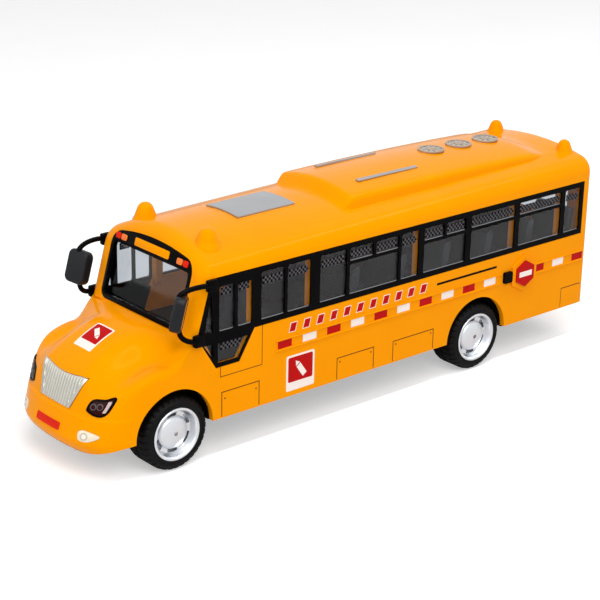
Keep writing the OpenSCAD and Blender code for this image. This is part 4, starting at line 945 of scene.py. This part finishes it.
def hub_profile():
    r = RIM_R
    return [(AXIS, -11.4), (r - 1.0, -11.4), (r - 1.0, -0.9), (r, -0.5), (r, 0.25), (r - 0.15, 0.42),
            (r - 0.4, 0.5), (r - 0.75, 0.42), (r - 1.0, 0.15), (r - 1.3, -0.7), (r - 1.8, -2.3),
            (r - 2.1, -2.7), (6.4, -2.95), (6.2, -2.3), (5.9, -1.75), (5.3, -1.4), (3.6, -0.8), (2.2, -0.45),
            (AXIS, -0.35)]


def slot_cut(angle):
    """Curved slot between the cap and the rim."""
    start, end = angle - SLOT_HALF, angle + SLOT_HALF
    outline = arc((0.0, 0.0), SLOT_R[1], start, end, 11) + arc((0.0, 0.0), SLOT_R[0], end, start, 11)
    return prism(outline, upright, -6.5, 1.0)


def hub_form(name):
    hub = make(name, lathe(hub_profile(), 128))
    cut = [slot_cut(60.0 * i + 30.0) for i in range(6)]
    cut.append(lathe([(AXIS, -2.2), (0.8, -2.2), (0.8, 1.0), (AXIS, 1.0)], 32))
    return carve(hub, cut=cut, smooth=35.0)


def build_wheels():
    for end, x in (("front", FRONT_AXLE_X), ("rear", REAR_AXLE_X)):
        for side, s in SIDES:
            body = f"{end}_wheelset"
            tread = moved(lathe(tread_profile, TREAD_BLOCKS * TREAD_STEPS),
                          lambda p: np.array((x + p[0], s * (TYRE_FACE_Y + p[2]), TYRE_R + p[1])))
            piece(f"{end}_{side}_tyre_skin", tread, RUBBER, body, (f"{end}_{side}_tyre",), 40.0)
            hub = hub_form(f"{end}_{side}_hub_skin")
            hub.data.transform(Matrix(((1.0, 0.0, 0.0, x * MM), (0.0, 0.0, s, s * TYRE_FACE_Y * MM),
                                       (0.0, 1.0, 0.0, TYRE_R * MM), (0.0, 0.0, 0.0, 1.0))))
            if s > 0.0:
                hub.data.flip_normals()
            place(hub, WHEEL_PLATE, body, (f"{end}_{side}_hub",))


build_wheels()


# Lamp details, print and badges

def build_lamp_details():
    """Rings and bulbs on the lenses, and a pale stripe on each headlamp lens that is a painted reflection."""
    first = [circle(HEADLAMP_Y + 2.7, 28.0, r) for r in (1.15, 0.828)]
    second = [circle(HEADLAMP_Y + 5.1, 28.4, r) for r in (1.15, 0.828)]
    fog = [circle(*FOG_MID, r) for r in (1.35, 1.0, 0.65)]
    rows = (("headlamp_reflector", first[0], 0.34, 40, REFLECTOR, "silver_plate", first[1:]),
            ("headlamp_bulb", second[0], 0.34, 40, REFLECTOR, "silver_plate", second[1:]),
            ("headlamp_painted_reflection", REFLECTION_BAND, 0.36, 40, LENS_REFLECTION, "pale_lens", []),
            ("fog_ring", fog[0], 0.46, 30, CHROME, "silver_plate", fog[1:2]),
            ("fog_bulb", fog[2], 0.46, 30, WHITE, "pale_lens", []))
    for side, s in SIDES:
        for name, outline, proud, steps, material, slot, holes in rows:
            skin_piece(f"{side}_{name}", handed(outline, s), proud, (steps, steps), material,
                       holes=[handed(h, s) for h in holes], depth=0.0)


build_lamp_details()


# Heights of print, from low to high, above its wall
FLAT = (-0.02, PRINT_T)
SECOND = (0.0, 0.1)
THIRD = (0.0, 0.14)
FINE = (-0.02, 0.03)
ON_GLASS = (-0.53, -0.46)
# Span of the painted highlight strips at the foot of the panes, on the glass
SILL_HIGHLIGHT_SPAN = (-0.53, -0.32)


def print_on(name, outlines, wall, material, span=FLAT):
    """Flat shapes of one colour laid on a wall."""
    piece(name, joined([prism(o, wall, *span) for o in outlines]), material)


# Panes: front end, rear end, and lower and upper edge
FULL, LOW, HIGH = PANE_Z, (PANE_Z[0], 60.4), (61.6, PANE_Z[1])
PANES = ((72.0, 65.2, (PANE_Z[0], 65.3)), (63.7, 57.2, (PANE_Z[0], 64.8)), (53.0, 42.0, FULL),
         (40.8, 29.8, FULL), (25.3, 12.3, FULL), (10.8, -14.2, LOW), (10.8, -1.1, HIGH), (-2.3, -14.2, HIGH),
         (-15.5, -24.6, FULL), (-27.4, -50.2, LOW), (-27.4, -38.2, HIGH), (-39.4, -50.2, HIGH),
         (-53.1, -78.1, LOW), (-53.1, -78.1, HIGH), (-80.6, -105.4, LOW), (-80.6, -105.4, HIGH),
         (-107.9, -117.1, FULL))
CHECK = 0.9
# Rows of checks: front end, rear end and lower edge, the door's lower light first
CHECK_ROWS = [(72.0, 61.0, 41.2)]
CHECK_ROWS += [(x1, x0, 62.6 if span is HIGH else 61.8) for x1, x0, span in PANES if span is not LOW]


def checkers(x1, x0, low, first):
    """Every second small square of three rows between two ends of a pane, from the first or the second on."""
    count = int((x1 - x0 - 1.4) / CHECK)
    start = (x1 + x0 + count * CHECK) / 2.0
    cells = [(c, r) for c in range(count) for r in range(3) if (c + r) % 2 == first]
    s = 0.47 * CHECK
    centres = [(start - (c + 0.5) * CHECK, low + (r + 0.5) * CHECK) for c, r in cells]
    return [box(x - s, x + s, z - s, z + s) for x, z in centres]


def build_window_print(side, wall):
    squares, between = ([b for row in CHECK_ROWS for b in checkers(*row, first)] for first in (0, 1))
    # Thin pale strips along the foot of each pane: painted highlight where the lower edge catches the light
    sill_highlights = [box(x0 + 0.3, x1 - 0.3, low, low + 0.28) for x1, x0, (low, high) in PANES]
    print_on(f"{side}_window_checks", squares, wall, BLACK, ON_GLASS)
    print_on(f"{side}_window_check_gaps", between, wall, CHECK_GREY, ON_GLASS)
    print_on(f"{side}_window_sills", sill_highlights, wall, SILL_HIGHLIGHT, SILL_HIGHLIGHT_SPAN)


BLOCK_PITCH = 11.9
BLOCK_L = 6.6
BLOCK_Z = (35.0, 37.95)
DASH_X = 39.2
DASH_PITCH = 6.6
DASH_Z = (40.6, 43.8)
DASH_W = 2.7
PANEL_LOW_Z = 15.6
DOOR_CARD = [(58.5, 45.6), (62.2, 35.2), (73.6, 35.2), (76.0, 39.0), (79.0, 45.6)]


def block_starts(side):
    """Front ends of the blocks on the rub rail, which leave room for the stop sign on the left."""
    front = [45.0 - BLOCK_PITCH * i for i in range(10 if side == "left" else 14)]
    return front + [-114.5 + BLOCK_PITCH * i for i in (2, 1, 0)] if side == "left" else front


def frame_lines(x0, x1, high, w=0.36):
    """Top and both sides of a panel."""
    low = PANEL_LOW_Z
    return [box(x0, x1, high - w, high), box(x0, x0 + w, low, high), box(x1 - w, x1, low, high)]


def slanted(x, grow):
    """A sloping dash, grown on all sides."""
    (low, high), rear = DASH_Z, x - DASH_W - grow
    lean = 0.28 * (high - low) / 2.0
    return [(rear + lean, low - grow), (x + grow + lean, low - grow), (x + grow - lean, high + grow),
            (rear - lean, high + grow)]


def pencil(a, b, size):
    """A sloping pencil in two parts: shaft and point."""
    turn = math.radians(55.0)
    c, s = math.cos(turn), math.sin(turn)
    parts = (box(-0.42, 0.2, -0.13, 0.13), [(0.25, -0.13), (0.48, 0.0), (0.25, 0.13)])
    return [[(a + size * (u * c - v * s), b + size * (u * s + v * c)) for u, v in part] for part in parts]


def build_side_print(side, wall):
    """Blocks on the rub rail, dashes, panel lines and the sign of one side."""
    bars = [box(x - BLOCK_L, x, *BLOCK_Z) for x in block_starts(side)]
    dashes = [DASH_X - DASH_PITCH * i for i in range(11)]
    lines = frame_lines(53.4, 70.9, 25.2) + frame_lines(-3.0, 16.0, 24.3) + frame_lines(-34.8, -12.8, 24.0)
    lines += [box(-121.0, -109.5, 23.65, 24.0), box(-109.5, -109.22, PANEL_LOW_Z, 24.0)]
    lines += [box(52.2, 71.5, 31.0, 31.28), box(52.2, 52.48, 31.0, 46.3), box(71.22, 71.5, 31.0, 35.0)]
    lines += [circle(x, 22.4, 0.35, 12) for x in (55.0, 69.3, -1.4, 14.4, -33.2, -14.4)]
    rows = (("red_blocks", bars[0::2], RED, "red_trim", FLAT),
            ("white_blocks", bars[1::2], WHITE, "pale_lens", FLAT),
            ("dash_edges", [slanted(x, 0.28) for x in dashes], WHITE, "pale_lens", FLAT),
            ("dashes", [slanted(x, 0.0) for x in dashes], RED, "red_trim", SECOND),
            ("dark_line", [box(-69.0, -35.5, 41.7, 42.6)], BLACK, "black_trim", FLAT),
            ("panel_lines", lines, LINE_BROWN, "black_trim", FINE),
            ("sign_plate", [round_rect(27.2, 40.8, 17.0, 31.0, 0.8)], WHITE, "pale_lens", FLAT),
            ("sign_field", [round_rect(28.1, 39.9, 20.4, 30.2, 0.6)], RED, "red_trim", SECOND),
            ("sign_mark", pencil(34.0, 25.2, 8.6), WHITE, "pale_lens", THIRD))
    for name, outlines, material, slot, span in rows:
        print_on(f"{side}_{name}", outlines, wall, material, span)


for side, wall in (("left", on_left), ("right", on_right)):
    print_on(f"{side}_door_card", [DOOR_CARD], wall, BASE_BLACK, (-WALL - 1.0, -WALL - 0.3))
    build_window_print(side, wall)
    build_side_print(side, wall)
stop_bar = box(STOP_X - 3.6, STOP_X + 3.6, STOP_Z - 1.1, STOP_Z + 1.1)
print_on("stop_bar", [stop_bar], on_left, WHITE, (1.58, 1.66))


def build_badge():
    shaft, tip = pencil(102.4, 0.0, 7.0)
    rows = (("badge_plate", round_rect(98.1, 109.1, -5.1, 5.1, 0.5), 0.06, WHITE, "pale_lens"),
            ("badge_field", round_rect(98.7, 106.3, -4.5, 4.5, 0.4), 0.1, RED, "red_trim"),
            ("badge_mark", shaft, 0.14, WHITE, "pale_lens"),
            ("badge_mark_tip", tip, 0.14, WHITE, "pale_lens"))
    for name, outline, proud, material, slot in rows:
        skin_piece(name, outline, proud, (39, 39), material, depth=0.1, view=ABOVE)


build_badge()


def build_header():
    """Windscreen, its frame, and the board and lamps above it."""
    frame_ring = make("screen_frame", prism(screen_outline(0.1), on_screen, -1.5, 0.2))
    light = round_rect(-SCREEN_HALF_W + 1.8, SCREEN_HALF_W - 1.8, 2.3, SCREEN_H - 6.6, 1.5)
    carve(frame_ring, cut=[prism(light, on_screen, -4.0, 3.0)])
    place(soften(frame_ring, 0.15), BLACK, stands_for=("windscreen_frame",))
    sheet = prism(screen_outline(0.1), on_screen, -2.4, -1.55)
    piece("screen_sheet", sheet, GLASS, stands_for=("windscreen",))
    low = 23.5
    board = prism(round_rect(-10.2, 10.2, low, low + 3.0, 0.6), on_screen, 0.15, 0.55)
    piece("header_board", board, YELLOW, soft=(0.12,))
    for side, s in SIDES[::-1]:
        for name, y, half, material in (("amber", 16.7, 1.6, AMBER), ("red", 20.2, 1.4, PLATE_RED)):
            lamp = prism(round_rect(s * y - half, s * y + half, low, low + 2.3, 0.7), on_screen, 0.15, 0.7)
            piece(f"{side}_header_{name}", lamp, material, soft=(0.2,))


build_header()


# Mirrors

MIRROR_AT = (COWL_X + 4.6, HALF_W - 0.4, COWL_Z + 11.0)
MIRROR_TURN = {"left": math.radians(-44.0), "right": math.radians(-10.0)}
ARM_HIGH = [(-8.6, 1.25, 18.8), (-4.6, 1.4, 19.8), (1.4, 0.8, 19.7), (4.0, -0.4, 18.4), (4.6, -0.4, 17.0)]
ARM_LOW = [(-2.8, 1.25, -0.4), (0.8, 1.2, -0.4), (3.8, -0.2, 0.8), (4.6, -0.4, 3.0), (4.6, -0.4, 5.4)]
ARM_R = 0.95
PADS = ((-10.8, 16.6), (-5.0, -2.6))
PAD_SIZE = 4.4
HEAD = round_rect(-4.8, 4.8, -6.25, 6.25, 2.4, 8)
RECESS = round_rect(-4.0, 4.0, -5.45, 5.45, 1.5, 8)
MIRROR_PANE = round_rect(-3.95, 3.95, -5.4, 5.4, 1.4, 8)


def on_mirror(turn):
    """Placing on a mirror head that is turned about its stem and leans with the windscreen."""
    c, s = math.cos(turn), math.sin(turn)

    def at(across, up, ahead):
        x, z = leant(ahead * c - across * s, up)
        return (MIRROR_AT[0] + x, MIRROR_AT[1] + ahead * s + across * c, MIRROR_AT[2] + z)
    return at


def build_mirrors():
    paths = [[(COWL_X + x, HALF_W + y, COWL_Z + z) for x, y, z in bezier(p, 24)] for p in (ARM_HIGH, ARM_LOW)]
    rods = joined([tube(path, ARM_R) for path in paths])
    corners = [(COWL_X + x, COWL_Z + z) for x, z in PADS]
    feet = [round_rect(x, x + PAD_SIZE, z, z + PAD_SIZE, 0.7) for x, z in corners]
    pads = joined([prism(foot, on_left, 0.05, 2.1) for foot in feet])
    for side, s in SIDES:
        def turned(form):
            return form if s > 0.0 else mirrored(form)

        arm = (f"{side}_mirror_arm",)
        piece(f"{side}_mirror_rods", turned(rods), BLACK, stands_for=arm, smooth=50.0)
        piece(f"{side}_mirror_pads", turned(pads), BLACK, soft=(0.45, 3))
        at = on_mirror(MIRROR_TURN[side])
        head = soften(make(f"{side}_mirror_shell", turned(prism(HEAD, at, -2.1, 2.1))), 0.9, 4, 50.0)
        carve(head, cut=[turned(prism(RECESS, at, -3.1, -1.3))], smooth=40.0)
        place(head, HEAD_GREY, stands_for=(f"{side}_mirror_head",))
        pane = turned(prism(MIRROR_PANE, at, -1.95, -1.25))
        piece(f"{side}_mirror_pane", pane, MIRROR, stands_for=(f"{side}_mirror_glass",))


build_mirrors()


# Roof fans: corners of a vane as (radius, turn), and rings as inner and outer radius
VANES = 9
VANE = ((1.95, -0.16), (4.25, 0.02), (4.25, 0.36), (1.95, 0.2))
FAN_RINGS = ((4.3, 5.0), (0.6, 1.9))


def build_fan_blades():
    """Curved vanes, rims and hubs in the grooves of the roof fans."""
    blades = []
    for x in FAN_XS:
        floor = float(hump_crest(x)) + 0.1
        for k in range(VANES):
            a = 2.0 * math.pi * k / VANES
            outline = [(x + r * math.cos(a + turn), r * math.sin(a + turn)) for r, turn in VANE]
            blades.append(prism(outline, upright, floor + 0.25, floor + 0.52))
        blades += [shifted(lathe(box(r0, r1, 0.2, 0.56), 64), x, 0.0, floor) for r0, r1 in FAN_RINGS]
    piece("fan_blades", joined(blades), CHROME)


build_fan_blades()


# Finishes of the CAD pieces that stay
DRESS = (
    (BASE_BLACK, ("chassis", "dashboard")),
    (INSIDE, ("seat_tub", "steering_wheel")),
    (BLACK, ("windscreen_frame", "left_window_frame", "right_window_frame", "rear_window_frame",
             "stop_sign_hinge", "left_mirror_arm", "right_mirror_arm", "left_mirror_head",
             "right_mirror_head")),
    (GLASS, ("windscreen", "left_glazing", "right_glazing", "rear_glazing")),
    (PLATE, ("roof_hatch", "roof_strips")),
    (FAN_WELL, ("roof_fans",)),
    (RED, ("stop_sign", "left_tail_lamps", "right_tail_lamps")),
    (MIRROR, ("left_mirror_glass", "right_mirror_glass")),
    (STEEL, ("front_axle", "rear_axle", "idler_shaft", "flywheel_shaft", "chassis_screws", "gearbox_screws")),
    (NYLON, ("axle_gear", "idler_gear", "flywheel_pinion", "gearbox_left", "gearbox_right")),
    (CAST, ("flywheel",)))
for material, names in DRESS:
    for name in names:
        slots = nodes[name].data.materials
        slots.clear()
        slots.append(material)


# Stage, light and camera

FLOOR_HALF = 4.0
FLOOR_GLOW = 0.42
WORLD_LEVELS = (0.34, 1.0)
# Lights: name, place, target, width and length, all in metres, and power
LIGHTS = (("key", (0.35, 0.75, 0.85), (0.0, 0.0, 0.04), (0.7, 0.7), 6.0),
          ("fill", (0.9, -0.1, 0.45), (0.05, 0.0, 0.04), (0.6, 0.6), 2.0),
          ("top", (-0.15, 0.0, 1.0), (0.0, 0.0, 0.05), (0.9, 0.6), 0.4),
          ("strip", (-0.2, 0.22, 0.85), (-0.2, 0.0, 0.05), (1.3, 0.04), 3.6))
# Camera as fitted to the photo; its focal length is in pixels of a picture 600 wide
AZIMUTH, ELEVATION, ROLL = (math.radians(a) for a in (139.18, 20.638, 1.101))
AIM = (8.017, 0.0, 36.481)
DISTANCE = 685.67
FOCAL = 1768.64
PICTURE_W = 600.0
SENSOR_W = 36.0


def math_node(operation, first, second):
    """Result of a math node over a socket and a second socket or number."""
    node = first.id_data.nodes.new("ShaderNodeMath")
    node.operation = operation
    return feed(node, {0: first, 1: second}).outputs["Value"]


def build_stage():
    """White floor that glows a little for the camera alone."""
    floor = bpy.data.objects.new("floor", bpy.data.meshes.new("floor"))
    corners = [(x, y, 0.0) for x, y in box(-FLOOR_HALF, FLOOR_HALF, -FLOOR_HALF, FLOOR_HALF)]
    floor.data.from_pydata(corners, [], [(0, 1, 2, 3)])
    bpy.context.scene.collection.objects.link(floor)
    material, shader, coords = surface("floor_paper")
    paper = ramp(noise(coords, 30.0, 3.0), 0.3, (0.84,) * 3, (0.86,) * 3)
    path = coords.id_data.nodes.new("ShaderNodeLightPath")
    glow = math_node("MULTIPLY", path.outputs["Is Camera Ray"], FLOOR_GLOW)
    feed(shader, {"Base Color": paper, "Roughness": 0.9, "Specular IOR Level": 0.0,
                  "Emission Color": (1.0, 1.0, 1.0, 1.0), "Emission Strength": glow})
    floor.data.materials.append(material)


def build_world():
    """White surroundings, dimmer for diffuse light than for camera, gloss and pane rays."""
    world = bpy.data.worlds.new("studio")
    bpy.context.scene.world = world
    world.use_nodes = True
    parts = world.node_tree.nodes
    rays = parts.new("ShaderNodeLightPath").outputs
    seen = math_node("MAXIMUM", rays["Is Camera Ray"], rays["Is Transmission Ray"])
    seen = math_node("MAXIMUM", seen, rays["Is Glossy Ray"])
    dim, full = WORLD_LEVELS
    level = feed(parts.new("ShaderNodeMapRange"), {"Value": seen, "To Min": dim, "To Max": full})
    feed(parts["Background"], {"Color": (1.0, 1.0, 1.0, 1.0), "Strength": level.outputs["Result"]})


def add_light(name, location, target, size, power):
    data = bpy.data.lights.new(name, "AREA")
    data.shape = "RECTANGLE"
    data.size, data.size_y = size
    data.energy = power
    lamp = bpy.data.objects.new(name, data)
    lamp.location = location
    lamp.rotation_euler = (Vector(target) - Vector(location)).to_track_quat("-Z", "Y").to_euler()
    bpy.context.scene.collection.objects.link(lamp)


def build_camera():
    flat = math.cos(ELEVATION)
    back = Vector((math.sin(AZIMUTH) * flat, -math.cos(AZIMUTH) * flat, math.sin(ELEVATION)))
    right = Vector((0.0, 0.0, 1.0)).cross(back).normalized()
    side = math.cos(ROLL) * right + math.sin(ROLL) * back.cross(right)
    turn = Matrix((side, back.cross(side), back)).transposed().to_4x4()
    data = bpy.data.cameras.new("camera")
    data.sensor_width = SENSOR_W
    data.lens = SENSOR_W * FOCAL / PICTURE_W
    data.clip_start = 0.01
    camera = bpy.data.objects.new("camera", data)
    camera.matrix_world = Matrix.Translation(Vector(AIM) * MM + back * DISTANCE * MM) @ turn
    bpy.context.scene.collection.objects.link(camera)
    bpy.context.scene.camera = camera


build_stage()
build_world()
for light in LIGHTS:
    add_light(*light)
build_camera()
bpy.context.scene.view_settings.view_transform = "Standard"
